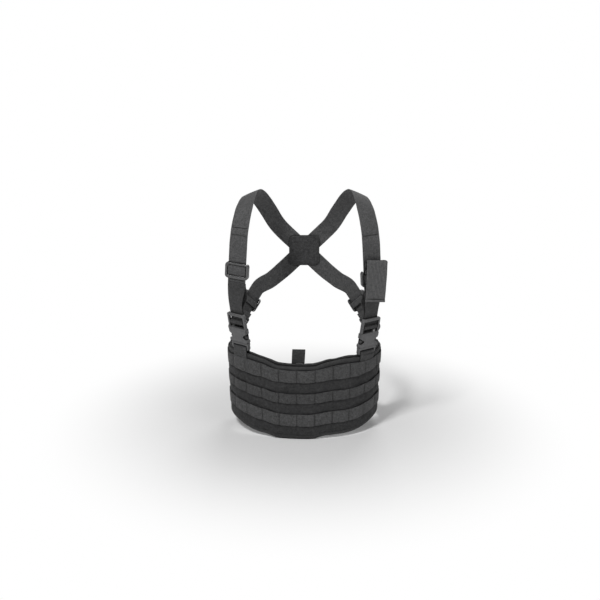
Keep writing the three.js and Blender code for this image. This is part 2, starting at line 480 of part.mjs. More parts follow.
    // across the wing its two edges lie on the inner side and it spans straight between them
    const sewn = [[207, 108], [216, 124], [225, 140], [233, 156], [238, 166]].map(([ss, h]) => {
      const e0 = on(ss - 16.4, h + 9.4, -9), e1 = on(ss + 16.4, h - 9.4, -9);
      return { p: e0.clone().lerp(e1, 0.5), w: e1.clone().sub(e0).normalize().multiplyScalar(wing) };
    });
    const w = up.clone().cross(rn);
    if (w.dot(sewn[0].w) < 0) sewn.forEach((q) => q.w.negate());
    const frames = runFrames([...sewn.map((q) => q.p), ...round], w, sewn[0].p.clone().multiplyScalar(2).sub(sewn[1].p));
    sewn.forEach((q, i) => {
      const T = frames[i].T, ww = q.w.clone().addScaledVector(T, -q.w.dot(T)).normalize();
      frames[i].w = ww;
      frames[i].n = ww.clone().cross(T);
    });
    put("ring_tab_" + wingSide, webbing(frames, WEB, 1.4), WEBBING, 0.9);
  }
}

// Patches sewn over the crossing of the shoulder webbing
for (const [name, y0, y1] of [["cross_patch_inner", 115.2, 116.9], ["cross_patch_outer", 121.3, 123]])
  put(name, plate(polygon(roundRect(34, -34, 34, 9, 4)), y0, y1), WEBBING, 0.9, basis(v3(0, 0, CROSS_Z), v3(-1, 0, 0), v3(0, 0, 1), v3(0, 1, 0)));

// Waist belt: plug on the wearer's left, adjustable socket on the right
{
  const BELT_H = 40, beltZ = panelPoint(250, BELT_H, 0).z;
  const mouth = v3(27, 98.5, beltZ);
  const X = v3(0, 0, -1), Y = v3(-1, 0, 0), Z = v3(0, 1, 0);
  const M = basis(mouth, X, Y, Z), L = (y, z) => mouth.clone().addScaledVector(Y, y).addScaledVector(Z, z);
  put("waist_socket", socket(), PLASTIC, 0.45, M);
  put("waist_plug", plug(), PLASTIC, 0.45, M);
  put("waist_latch_arm_a", arm(1), PLASTIC, 0.45, M);
  put("waist_latch_arm_b", arm(-1), PLASTIC, 0.45, M);
  const belt = (side, last) => {
    const out = [];
    for (let i = 11; i <= last; i++) {
      const t = -8.8 + 7.2 * smooth((i - 13) / 5), p = panelPoint(side * i * FACET, BELT_H, t);
      out.push(v3(p.x, p.y, beltZ));
    }
    return out;
  };
  const plugEnd = [[-40, 3.8], [-20, 4.5], [-16.4, 4.6], [-12.2, 4.6], [-10.5, 2.9], [-10.2, 0], [-10.5, -2.9], [-12.2, -4.6], [-16.4, -4.6], [-21, -4], [-40, 0.6]].map(([y, z]) => L(y, z));
  put("waist_strap_l", webbing(runFrames([...belt(1, 16), ...plugEnd], X), WEB, 1.4), WEBBING, 0.9);
  const socketEnd = [[74, -1.9], [57, -1.7], [51.6, -0.6], [48.4, 1.6], [45.6, 2.75], [40, 2.75], [37.9, 1.9], [37.1, 0], [37.9, -1.9], [40, -2.75], [45.6, -2.75], [50, -3.4], [56, -4.4], [70, -4.7], [86, -5.2], [112, -8.4]].map(([y, z]) => L(y, z));
  put("waist_strap_r", webbing(runFrames([...belt(-1, 17), ...socketEnd], X.clone().negate()), WEB, 1.4), WEBBING, 0.9);
}

// The origin is the middle of the bounding box's bottom
{
  const box = new THREE.Box3().setFromObject(vest, true);
  const shift = v3(-(box.min.x + box.max.x) / 2, -(box.min.y + box.max.y) / 2, -box.min.z);
  for (const mesh of vest.children) mesh.geometry.applyMatrix4(mesh.matrix).translate(shift.x, shift.y, shift.z), mesh.position.set(0, 0, 0), mesh.quaternion.identity(), mesh.scale.set(1, 1, 1), mesh.updateMatrix();
}

export default vest;
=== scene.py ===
import math

import bmesh
import bpy
import numpy as np
from mathutils import Matrix, Vector
from mathutils.bvhtree import BVHTree


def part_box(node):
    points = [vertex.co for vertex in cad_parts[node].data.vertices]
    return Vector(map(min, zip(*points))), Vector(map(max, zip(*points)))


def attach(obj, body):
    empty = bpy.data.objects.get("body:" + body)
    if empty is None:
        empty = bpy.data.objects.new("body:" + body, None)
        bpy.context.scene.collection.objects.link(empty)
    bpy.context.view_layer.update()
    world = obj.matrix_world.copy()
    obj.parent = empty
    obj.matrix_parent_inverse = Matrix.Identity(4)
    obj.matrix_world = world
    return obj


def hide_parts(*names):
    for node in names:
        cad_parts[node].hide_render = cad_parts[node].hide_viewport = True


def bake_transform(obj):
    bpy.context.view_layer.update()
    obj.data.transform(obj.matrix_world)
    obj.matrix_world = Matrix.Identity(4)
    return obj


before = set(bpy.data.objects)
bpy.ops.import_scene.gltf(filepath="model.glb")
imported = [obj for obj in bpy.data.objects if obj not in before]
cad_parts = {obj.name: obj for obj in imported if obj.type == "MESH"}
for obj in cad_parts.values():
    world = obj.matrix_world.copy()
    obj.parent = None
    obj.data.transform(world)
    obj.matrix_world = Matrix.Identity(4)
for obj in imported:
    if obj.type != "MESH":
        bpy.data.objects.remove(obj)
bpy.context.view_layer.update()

# ------------------------------------------------------------------ sizes, millimetres, in the design frame
BODY_A, BODY_B, TAPER = 164.4, 107.0, 0.026
PANEL_H, PANEL_S = 161.0, 247.0
LIFT_TOP, LIFT_BOTTOM = 8.8, 21.5
COLUMN, CENTRE_S = 38.1, -16.5
FACET = COLUMN / 2
ROWS = [("bottom", 26.5, 54.0), ("middle", 77.5, 100.0), ("top", 124.5, 152.0)]
WEB, WEB_T = 38.1, 1.6
TAB_S, BAR_Z = {1: 140.0, -1: 145.5}, {1: 173.5, -1: 182.5}
MOUTH_UP, LADDER_TOP, PLANE_T, TAB_W = 14.2, 63.0, -2.8, 27.0
CROSS_Z, BACK_Y = 352.0, 118.0

_lo, _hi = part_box("cross_patch_outer")
SHIFT = np.array([(_lo.x + _hi.x) * 500.0, _hi.y * 1000.0 - 123.0, (_lo.z + _hi.z) * 500.0 - CROSS_Z])

scene = bpy.context.scene
COLUMNS = [CENTRE_S + COLUMN * k for k in range(-6, 8) if abs(CENTRE_S + COLUMN * k) < PANEL_S - 4]


# ------------------------------------------------------------------ small maths
def vec(*a):
    return np.array(a, float)


def unit(a):
    a = np.asarray(a, float)
    return a / np.linalg.norm(a)


def units(a):
    return a / np.maximum(np.linalg.norm(a, axis=-1, keepdims=True), 1e-12)


def smooth(t):
    c = np.clip(t, 0.0, 1.0)
    return c * c * (3 - 2 * c)


def ripple(x, seed, scale=1.0):
    """A smooth, fixed wander in -1..1 along x (mm)."""
    x = np.asarray(x, float) / scale
    rng = np.random.RandomState(seed)
    out = np.zeros_like(x)
    for k, amp in ((1 / 61.0, 0.5), (1 / 33.0, 0.3), (1 / 17.0, 0.14), (1 / 9.0, 0.06)):
        out = out + amp * np.sin(2 * math.pi * (k * x * (0.85 + 0.3 * rng.rand()) + rng.rand()))
    return out


_u = np.linspace(0, math.pi, 4001)
_X, _Y = BODY_A * np.sin(_u), -BODY_B * np.cos(_u)
_S = np.concatenate([[0], np.cumsum(np.hypot(np.diff(_X), np.diff(_Y)))])


def plan_at(s):
    s = np.asarray(s, float)
    u = np.interp(np.abs(s), _S, _u)
    sg = np.where(s < 0, -1.0, 1.0)
    nx, ny = np.sin(u) / BODY_A, -np.cos(u) / BODY_B
    l = np.hypot(nx, ny)
    return sg * BODY_A * np.sin(u), -BODY_B * np.cos(u), sg * nx / l, ny / l


def drape(s, h):
    """How the worn panel hangs: its middle sags between two creases and its sides are drawn up towards the buckles."""
    middle = 1 - smooth((np.abs(s + 20) - 34) / 36)
    top, low = smooth((h - 124.5) / 30), smooth((20 - h) / 20)
    right, left = np.exp(-((s + 122) / 48) ** 2), np.exp(-((s - 88) / 38) ** 2)
    return -4.5 * middle + right * (4.5 + 4.5 * top) + left * (0.5 + 5.5 * top) - low * (1.5 * middle + 3.5 * right)


def panel(s, h, t):
    """A point of the panel: s along the body, h up it, t out from its face."""
    s, h, t = np.broadcast_arrays(np.asarray(s, float), np.asarray(h, float), np.asarray(t, float))
    x, y, nx, ny = plan_at(s)
    k = 1 - TAPER * (1 - h / PANEL_H)
    g = smooth((np.abs(s) - 90) / 115)
    down = np.maximum(0, 1 - h / PANEL_H)
    return np.stack([(x + nx * t) * k, (y + ny * t) * k, h + drape(s, h) + g * (LIFT_TOP + (LIFT_BOTTOM - LIFT_TOP) * down ** 1.3)], -1)


def panel_facet(s, h, t):
    u = (s - CENTRE_S) / FACET
    i = math.floor(u + 1e-6)
    a, b = panel(CENTRE_S + i * FACET, h, t), panel(CENTRE_S + (i + 1) * FACET, h, t)
    return a + (b - a) * (u - i)


def panel_out(s):
    _, _, nx, ny = plan_at(s)
    return np.stack([nx, ny, np.zeros_like(nx)], -1)


# ------------------------------------------------------------------ mesh building
PIECES = {}


def make(name, V, F, uv=None, mat=None, sharp=38.0, recalc=True, scale=True):
    """A mesh object from points in design millimetres; uv is per point, in millimetres."""
    V = np.asarray(V, float)
    me = bpy.data.meshes.new(name)
    W = (V + SHIFT) / 1000.0 if scale else V
    me.from_pydata(W.tolist(), [], F)
    if recalc:
        bm = bmesh.new()
        bm.from_mesh(me)
        bmesh.ops.recalc_face_normals(bm, faces=bm.faces)
        bm.to_mesh(me)
        bm.free()
    if uv is not None:
        layer = me.uv_layers.new(name="UVMap")
        vi = np.zeros(len(me.loops), np.int32)
        me.loops.foreach_get("vertex_index", vi)
        layer.data.foreach_set("uv", np.asarray(uv, np.float32)[vi].ravel())
    me.polygons.foreach_set("use_smooth", [True] * len(me.polygons))
    me.set_sharp_from_angle(angle=math.radians(sharp))
    me.update()
    ob = bpy.data.objects.new(name, me)
    scene.collection.objects.link(ob)
    if mat is not None:
        me.materials.append(mat)
    PIECES[name] = ob
    return ob


def loft(rings, u, v, caps=True):
    """Points, faces and uv of a closed skin over closed rings (N, M, 3)."""
    N, M, _ = rings.shape
    idx = np.arange(N * M).reshape(N, M)
    a, b = idx[:-1], idx[1:]
    q = np.stack([a, np.roll(a, -1, 1), np.roll(b, -1, 1), b], -1).reshape(-1, 4)
    F = [tuple(x) for x in q.tolist()]
    if caps:
        F.append(tuple(int(x) for x in idx[0][::-1]))
        F.append(tuple(int(x) for x in idx[-1]))
    u = np.asarray(u, float)
    v = np.asarray(v, float)
    UV = np.stack([np.broadcast_to(u[:, None], (N, M)), np.broadcast_to(v if v.ndim == 2 else v[None, :], (N, M))], -1)
    return rings.reshape(-1, 3), F, UV.reshape(-1, 2)


def slab(front, back, U, W):
    """A sheet with a front and a back grid (n, m, 3), closed round its edge."""
    n, m, _ = front.shape
    i = np.arange(n * m).reshape(n, m)
    k = n * m
    F = np.stack([i[:-1, :-1], i[1:, :-1], i[1:, 1:], i[:-1, 1:]], -1).reshape(-1, 4).tolist()
    F += (np.stack([i[:-1, :-1], i[:-1, 1:], i[1:, 1:], i[1:, :-1]], -1) + k).reshape(-1, 4).tolist()
    loop = list(i[:, 0]) + list(i[-1, 1:]) + list(i[-2::-1, -1]) + list(i[0, -2:0:-1])
    for a, b in zip(loop, loop[1:] + loop[:1]):
        F.append([int(b), int(a), int(a) + k, int(b) + k])
    uv = np.stack([U, W], -1).reshape(-1, 2)
    return np.concatenate([front.reshape(-1, 3), back.reshape(-1, 3)]), [tuple(f) for f in F], np.concatenate([uv, uv])


def web_profile(w, th, n=12, bead=0.06):
    """Closed profile (across, out) of webbing: flat faces, round edges a little thicker than the middle."""
    r = th / 2
    a = np.linspace(-(w / 2 - r), w / 2 - r, n + 1)
    o = r * (1 - bead * np.cos(np.pi * a / w) ** 0.5)
    edge = [(w / 2 - r + r * math.cos(x), r * math.sin(x)) for x in (1.05, 0.5, 0.0, -0.5, -1.05)]
    pts = [(x, y) for x, y in zip(a, o)] + edge + [(x, -y) for x, y in zip(a[::-1], o[::-1])] + [(-x, -y) for x, y in edge]
    P = np.array(pts)
    return P[:, 0], P[:, 1]


def tape_profile(pts, th, n=26):
    """Closed profile of a folded tape of thickness th along a line of (a, b) points, and its length coordinate."""
    P = np.array(pts, float)
    L = np.concatenate([[0], np.cumsum(np.linalg.norm(np.diff(P, axis=0), axis=1))])
    x = np.linspace(0, L[-1], n)
    R = hermite_series(P, L, x)
    T = units(np.gradient(R, axis=0))
    N = np.stack([-T[:, 1], T[:, 0]], -1)
    taper = np.ones(n)
    A, B = R + N * (th / 2) * taper[:, None], R - N * (th / 2) * taper[:, None]
    e0 = R[0] - T[0] * th * 0.3
    e1 = R[-1] + T[-1] * th * 0.3
    loop = np.concatenate([A, [e1], B[::-1], [e0]])
    v = np.concatenate([x, [x[-1]], x[::-1], [x[0]]])
    return loop, v


def hermite_series(P, L, x):
    """Smooth curve through P at parameters L, sampled at x."""
    P = np.asarray(P, float)
    h = np.diff(L)
    d = np.diff(P, axis=0) / h.reshape((-1,) + (1,) * (P.ndim - 1))
    m = np.empty_like(P)
    m[0], m[-1] = d[0], d[-1]
    if len(P) > 2:
        h0, h1 = h[:-1], h[1:]
        sh = (-1,) + (1,) * (P.ndim - 1)
        m[1:-1] = (d[:-1] * h1.reshape(sh) + d[1:] * h0.reshape(sh)) / (h0 + h1).reshape(sh)
    i = np.clip(np.searchsorted(L, x, side="right") - 1, 0, len(L) - 2)
    t = (x - L[i]) / h[i]
    sh = (-1,) + (1,) * (P.ndim - 1)
    t, hh = t.reshape(sh), h[i].reshape(sh)
    return (2 * t ** 3 - 3 * t ** 2 + 1) * P[i] + (t ** 3 - 2 * t ** 2 + t) * hh * m[i] + (-2 * t ** 3 + 3 * t ** 2) * P[i + 1] + (t ** 3 - t ** 2) * hh * m[i + 1]


def frame_set(frames):
    """(p, w, n) arrays from a list of frames."""
    return (np.array([f[0] for f in frames]), np.array([f[1] for f in frames]), np.array([f[2] for f in frames]))


def refine(p, w, n, step):
    L = np.concatenate([[0], np.cumsum(np.linalg.norm(np.diff(p, axis=0), axis=1))])
    x = [0.0]
    for a, b in zip(L[:-1], L[1:]):
        k = max(1, int(math.ceil((b - a) / step)))
        x += list(a + (b - a) * (np.arange(k) + 1) / k)
    x = np.array(x)
    return hermite_series(p, L, x), hermite_series(w, L, x), hermite_series(n, L, x), x


def strap_path(knots, per=5, step=5.0):
    k = [dict(p=np.asarray(q["p"], float), n=unit(q["n"]), m=q.get("m"), per=q.get("per")) for q in knots]
    for i, q in enumerate(k):
        if q["m"] is None:
            q["m"] = k[min(len(k) - 1, i + 1)]["p"] - k[max(0, i - 1)]["p"]
        q["m"] = unit(q["m"])
    out = []
    for i in range(len(k) - 1):
        a, b = k[i], k[i + 1]
        L = float(np.linalg.norm(a["p"] - b["p"]))
        n = max(a["per"] or per, int(math.ceil(L / step)))
        for j in range(n + (1 if i + 2 == len(k) else 0)):
            t = j / n
            t2, t3 = t * t, t * t * t
            p = a["p"] * (2 * t3 - 3 * t2 + 1) + a["m"] * (t3 - 2 * t2 + t) * L + b["p"] * (-2 * t3 + 3 * t2) + b["m"] * (t3 - t2) * L
            T = unit(a["p"] * (6 * t2 - 6 * t) + a["m"] * (3 * t2 - 4 * t + 1) * L + b["p"] * (-6 * t2 + 6 * t) + b["m"] * (3 * t2 - 2 * t) * L)
            ww = float(smooth(t))
            nn = a["n"] * (1 - ww) + b["n"] * ww
            nn = unit(nn - T * nn.dot(T))
            out.append((p, np.cross(T, nn), nn, T))
    return out


def run_frames(points, w, before=None, after=None):
    pts = [np.asarray(q, float) for q in points]
    al = [pts[0] if before is None else np.asarray(before, float)] + pts + [pts[-1] if after is None else np.asarray(after, float)]
    out = []
    for i, p in enumerate(pts):
        d0, d1 = p - al[i], al[i + 2] - p
        if d0.dot(d0) < 1e-9:
            d0 = d1.copy()
        if d1.dot(d1) < 1e-9:
            d1 = d0.copy()
        d0, d1 = unit(d0), unit(d1)
        T = unit(d0 + d1)
        ww = unit(w - T * float(np.dot(w, T)))
        out.append((p, ww, np.cross(ww, T) / max(0.72, float(T.dot(d0))), T))
    return out


def webbing(name, frames, width, th, mat, step=2.6, cup=0.0, wave=0.25, seed=1, n=12, fit=None):
    """Webbing along frames. cup bows it across its width (mm, out at the middle), as a number or a function of length."""
    p, w, nn = frame_set(frames)
    p, w, nn, u = refine(p, w, nn, step)
    a, o = web_profile(width, th, n)
    c = cup(u) if callable(cup) else np.full(len(u), float(cup))
    q = 1 - (2 * a / width) ** 2
    wander = wave * ripple(u, seed)
    rings = p[:, None, :] + w[:, None, :] * (a[None, :, None] + 0.5 * wander[:, None, None]) + nn[:, None, :] * (o[None, :] + c[:, None] * (q[None, :] - 0.6) + 0.35 * wander[:, None] * np.cos(a * 0.11 + seed)[None, :])[:, :, None]
    V, F, UV = loft(rings, u, a + width / 2)
    ob = make(name, V, F, UV, mat)
    return ob, (p, w, nn, u)


def done(ob, body, replaces=()):
    if body:
        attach(ob, body)
    if replaces:
        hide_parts(*replaces)
    return ob


# ------------------------------------------------------------------ stitches
STITCH = {}


def bvh_of(*objs):
    V, F, k = [], [], 0
    for ob in objs:
        me = ob.data
        co = np.zeros(len(me.vertices) * 3, np.float32)
        me.vertices.foreach_get("co", co)
        co = co.reshape(-1, 3) * 1000.0 - SHIFT
        V += co.tolist()
        F += [tuple(i + k for i in f.vertices) for f in me.polygons]
        k += len(me.vertices)
    return BVHTree.FromPolygons(V, F)


def on_surface(tree, pts, dirs, reach=9.0, miss=None):
    """Where rays from pts + dirs*reach, cast against dirs, meet the surface."""
    P, N, ok = [], [], []
    for p, d in zip(np.asarray(pts, float), np.broadcast_to(np.asarray(dirs, float), np.asarray(pts).shape)):
        d = unit(d)
        hit = tree.ray_cast(Vector(p + d * reach), Vector(-d), 2 * reach)
        if hit[0] is None:
            P.append(p), N.append(d), ok.append(False)
        else:
            nn = np.array(hit[1])
            P.append(np.array(hit[0])), N.append(nn if nn.dot(d) > 0 else -nn), ok.append(True)
    return np.array(P), np.array(N), np.array(ok)


def add_stitches(group, A, B, N, r=0.3, rise=0.26):
    STITCH.setdefault(group, []).append((np.asarray(A, float), np.asarray(B, float), units(np.asarray(N, float)), r, rise))


def zigzag(group, tree, pts, dirs, r=0.28):
    P, N, ok = on_surface(tree, pts, dirs)
    keep = ok[:-1] & ok[1:] & (np.linalg.norm(P[1:] - P[:-1], axis=1) < 5)
    if keep.any():
        add_stitches(group, P[:-1][keep], P[1:][keep], (N[:-1] + N[1:])[keep], r)


def running(group, tree, pts, dirs, pitch=3.1, share=0.74, r=0.3, rise=0.24):
    """A line of stitches along a polyline laid on a surface."""
    pts = np.asarray(pts, float)
    dirs = np.broadcast_to(np.asarray(dirs, float), pts.shape)
    L = np.concatenate([[0], np.cumsum(np.linalg.norm(np.diff(pts, axis=0), axis=1))])
    k = max(1, int(L[-1] / pitch))
    a = (np.arange(k) + 0.13) * L[-1] / k
    b = a + share * L[-1] / k
    at = lambda x, Q: np.stack([np.interp(x, L, Q[:, i]) for i in range(3)], -1)
    PA, NA, oa = on_surface(tree, at(a, pts), at(a, dirs))
    PB, NB, ob = on_surface(tree, at(b, pts), at(b, dirs))
    keep = oa & ob & (np.linalg.norm(PA - PB, axis=1) < 1.7 * pitch)
    if keep.any():
        add_stitches(group, PA[keep], PB[keep], (NA + NB)[keep], r, rise)


def build_stitches(group, mat, body, bend=None):
    """All of a group's stitches as one mesh of small arched threads."""
    f = np.array([0, 0.16, 0.5, 0.84, 1.0])
    rad = np.array([0.5, 0.92, 1.0, 0.92, 0.5])
    lift = np.array([-0.5, 0.55, 1.0, 0.55, -0.5])
    ang = np.arange(6) * math.pi / 3
    VV, FF, UU, base = [], [], [], 0
    for A, B, N, r, rise in STITCH[group]:
        K = len(A)
        D = units(B - A)
        S = units(np.cross(N, D))
        Nn = np.cross(D, S)
        C = A[:, None, :] + (B - A)[:, None, :] * f[None, :, None] + Nn[:, None, :] * (lift * rise)[None, :, None]
        ring = S[:, None, None, :] * np.cos(ang)[None, None, :, None] + Nn[:, None, None, :] * np.sin(ang)[None, None, :, None] * 0.8
        V = C[:, :, None, :] + ring * (rad * r)[None, :, None, None]
        VV.append(V.reshape(-1, 3))
        L = np.linalg.norm(B - A, axis=1)
        U = np.broadcast_to((L[:, None] * f[None, :])[:, :, None], (K, 5, 6))
        W = np.broadcast_to((np.arange(6) * r)[None, None, :], (K, 5, 6))
        UU.append(np.stack([U, W], -1).reshape(-1, 2))
        q = []
        for i in range(4):
            for j in range(6):
                q.append((i * 6 + j, i * 6 + (j + 1) % 6, (i + 1) * 6 + (j + 1) % 6, (i + 1) * 6 + j))
        q = np.array(q)
        off = base + np.arange(K)[:, None, None] * 30
        FF += (q[None] + off).reshape(-1, 4).tolist()
        for k in range(K):
            o = base + k * 30
            FF.append([o + 5, o + 4, o + 3, o + 2, o + 1, o])
            FF.append([o + 24, o + 25, o + 26, o + 27, o + 28, o + 29])
        base += K * 30
    ob = make(group, np.concatenate(VV), [tuple(x) for x in FF], np.concatenate(UU), mat, sharp=80)
    if bend:
        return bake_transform(ob)
    return done(ob, body)


# ------------------------------------------------------------------ materials
class Mat:
    def __init__(self, name):
        self.mat = bpy.data.materials.new(name)
        self.mat.use_nodes = True
        self.nt = self.mat.node_tree
        self.nt.nodes.clear()
        self.out = self.nt.nodes.new("ShaderNodeOutputMaterial")
        self._uv = None

    def node(self, kind, props=None, **inp):
        nd = self.nt.nodes.new(kind)
        for k, v in (props or {}).items():
            setattr(nd, k, v)
        for k, v in inp.items():
            self.put(nd, k.replace("_", " "), v)
        return nd

    def put(self, nd, key, v):
        s = nd.inputs[key]
        if isinstance(v, bpy.types.NodeSocket):
            self.nt.links.new(v, s)
        else:
            s.default_value = v

    def m(self, op, a, b=None, c=None, clamp=False):
        nd = self.nt.nodes.new("ShaderNodeMath")
        nd.operation = op
        nd.use_clamp = clamp
        for i, v in enumerate((a, b, c)):
            if v is None:
                continue
            if isinstance(v, bpy.types.NodeSocket):
                self.nt.links.new(v, nd.inputs[i])
            else:
                nd.inputs[i].default_value = v
        return nd.outputs[0]

    def uv(self):
        if self._uv is None:
            tc = self.node("ShaderNodeTexCoord")
            sep = self.node("ShaderNodeSeparateXYZ")
            self.nt.links.new(tc.outputs["UV"], sep.inputs[0])
            self._uv = (sep.outputs[0], sep.outputs[1], tc)
        return self._uv[0], self._uv[1]

    def tc(self):
        self.uv()
        return self._uv[2]

    def noise(self, scale, detail=3.0, rough=0.55, vector=None, dist=0.0):
        nd = self.node("ShaderNodeTexNoise", Scale=scale, Detail=detail, Roughness=rough, Distortion=dist)
        self.nt.links.new(vector if vector is not None else self.tc().outputs["Object"], nd.inputs["Vector"])
        return nd.outputs[0]

    def mottle(self, fine=1.5, coarse=1.1):
        """Uneven dye and yarn: blotches a few millimetres across."""
        a = self.m("MULTIPLY", self.m("SUBTRACT", self.noise(430, 2, 0.6), 0.5), fine)
        b = self.m("MULTIPLY", self.m("SUBTRACT", self.noise(165, 2, 0.6), 0.5), coarse)
        return self.m("MAXIMUM", self.m("ADD", 1.0, self.m("ADD", a, b)), 0.35)

    def shade(self, tone, tint=(1.0, 1.0, 1.0)):
        """A grey tone (socket) as a slightly tinted colour."""
        nd = self.node("ShaderNodeCombineColor")
        for i, t in enumerate(tint):
            self.nt.links.new(self.m("MULTIPLY", tone, t), nd.inputs[i])
        return nd.outputs[0]

    def finish(self, colour, rough, height, distance, sheen=0.25, spec=0.3, strength=1.0, sheen_rough=0.5, coat=0.0, painted_shade_reach=0.011, depth=0.72):
        b = self.node("ShaderNodeBsdfPrincipled")
        if painted_shade_reach:
            # painted shade: ambient occlusion darkens the base colour of cloth and plastic in creases and where
            # surfaces meet
            ao = self.node("ShaderNodeAmbientOcclusion", {"samples": 8}, Distance=painted_shade_reach)
            k = self.m("ADD", 1.0 - depth, self.m("MULTIPLY", self.m("POWER", ao.outputs["AO"], 1.5), depth))
            near = self.node("ShaderNodeAmbientOcclusion", {"samples": 8}, Distance=painted_shade_reach * 0.3)
            k = self.m("MULTIPLY", k, self.m("ADD", 0.12, self.m("MULTIPLY", self.m("POWER", near.outputs["AO"], 2.6), 0.88)))
            sc = self.node("ShaderNodeVectorMath", {"operation": "SCALE"})
            self.nt.links.new(colour, sc.inputs[0])
            self.nt.links.new(k, sc.inputs["Scale"])
            colour = sc.outputs[0]
        self.put(b, "Base Color", colour)
        self.put(b, "Roughness", rough)
        self.put(b, "Specular IOR Level", spec)
        self.put(b, "Sheen Weight", sheen)
        self.put(b, "Sheen Roughness", sheen_rough)
        if coat:
            self.put(b, "Coat Weight", coat)
            self.put(b, "Coat Roughness", 0.35)
        if height is not None:
            bump = self.node("ShaderNodeBump")
            self.put(bump, "Height", height)
            self.put(bump, "Distance", distance)
            self.put(bump, "Strength", strength)
            self.nt.links.new(bump.outputs[0], b.inputs["Normal"])
        self.nt.links.new(b.outputs[0], self.out.inputs["Surface"])
        return self.mat


def webbing_mat(name, tone, width, pu=2.9, pv=1.36, contrast=1.0, rough=0.74, sheen=0.08, edge_wear_and_shade=0.12, mot=1.5):
    """Woven nylon tape: warp yarns run along it and float over the weft in a staggered order."""
    T = Mat(name)
    u, v = T.uv()
    sv = T.m("DIVIDE", v, pv)
    row = T.m("FLOOR", sv)
    y = T.m("FRACT", sv)
    xs = T.m("ADD", T.m("DIVIDE", u, pu), T.m("MULTIPLY", row, 0.5))
    x = T.m("FRACT", xs)
    hy = T.m("POWER", T.m("SINE", T.m("MULTIPLY", y, math.pi)), 0.55)
    hx = T.m("POWER", T.m("SINE", T.m("MULTIPLY", x, math.pi)), 0.6)
    h = T.m("MULTIPLY", hy, T.m("ADD", T.m("MULTIPLY", hx, 0.5), 0.5))
    wn = T.node("ShaderNodeTexWhiteNoise", {"noise_dimensions": "2D"})
    cb = T.node("ShaderNodeCombineXYZ")
    T.nt.links.new(T.m("FLOOR", xs), cb.inputs[0])
    T.nt.links.new(row, cb.inputs[1])
    T.nt.links.new(cb.outputs[0], wn.inputs["Vector"])
    rnd = wn.outputs["Value"]
    fine = T.noise(2600, 2, 0.6)
    big = T.noise(26, 3, 0.55)
    mid = T.noise(140, 3, 0.6)
    # a positive edge value pales the two edges as worn fibre; a negative edge value darkens them as painted shade where
    # the webbing meets the cloth beneath
    e0 = T.m("SUBTRACT", 1.0, T.m("DIVIDE", v, 2.0), clamp=True)
    e1 = T.m("SUBTRACT", 1.0, T.m("DIVIDE", T.m("SUBTRACT", width, v), 2.0), clamp=True)
    edge = T.m("MULTIPLY", T.m("MAXIMUM", e0, e1), mid)
    k = T.m("ADD", 1.0 - 0.22 * contrast, T.m("MULTIPLY", h, 0.34 * contrast))
    k = T.m("MULTIPLY", k, T.m("ADD", 0.91, T.m("MULTIPLY", rnd, 0.18 * contrast)))
    blotch = T.noise(330, 3, 0.65)
    k = T.m("MULTIPLY", k, T.m("ADD", 0.86, T.m("MULTIPLY", big, 0.28)))
    k = T.m("MULTIPLY", k, T.m("ADD", 0.86, T.m("MULTIPLY", blotch, 0.28)))
    k = T.m("MULTIPLY", k, T.mottle(mot, mot * 0.5))
    k = T.m("MULTIPLY", k, T.m("ADD", 0.94, T.m("MULTIPLY", fine, 0.12)))
    k = T.m("ADD", k, T.m("MULTIPLY", edge, edge_wear_and_shade * 3.0))
    col = T.shade(T.m("MULTIPLY", k, tone), (1.0, 1.0, 1.015))
    height = T.m("ADD", h, T.m("MULTIPLY", fine, 0.16))
    r = T.m("ADD", rough - 0.06, T.m("MULTIPLY", mid, 0.14))
    return T.finish(col, r, height, 0.00034, sheen=sheen, spec=0.32, strength=0.85)


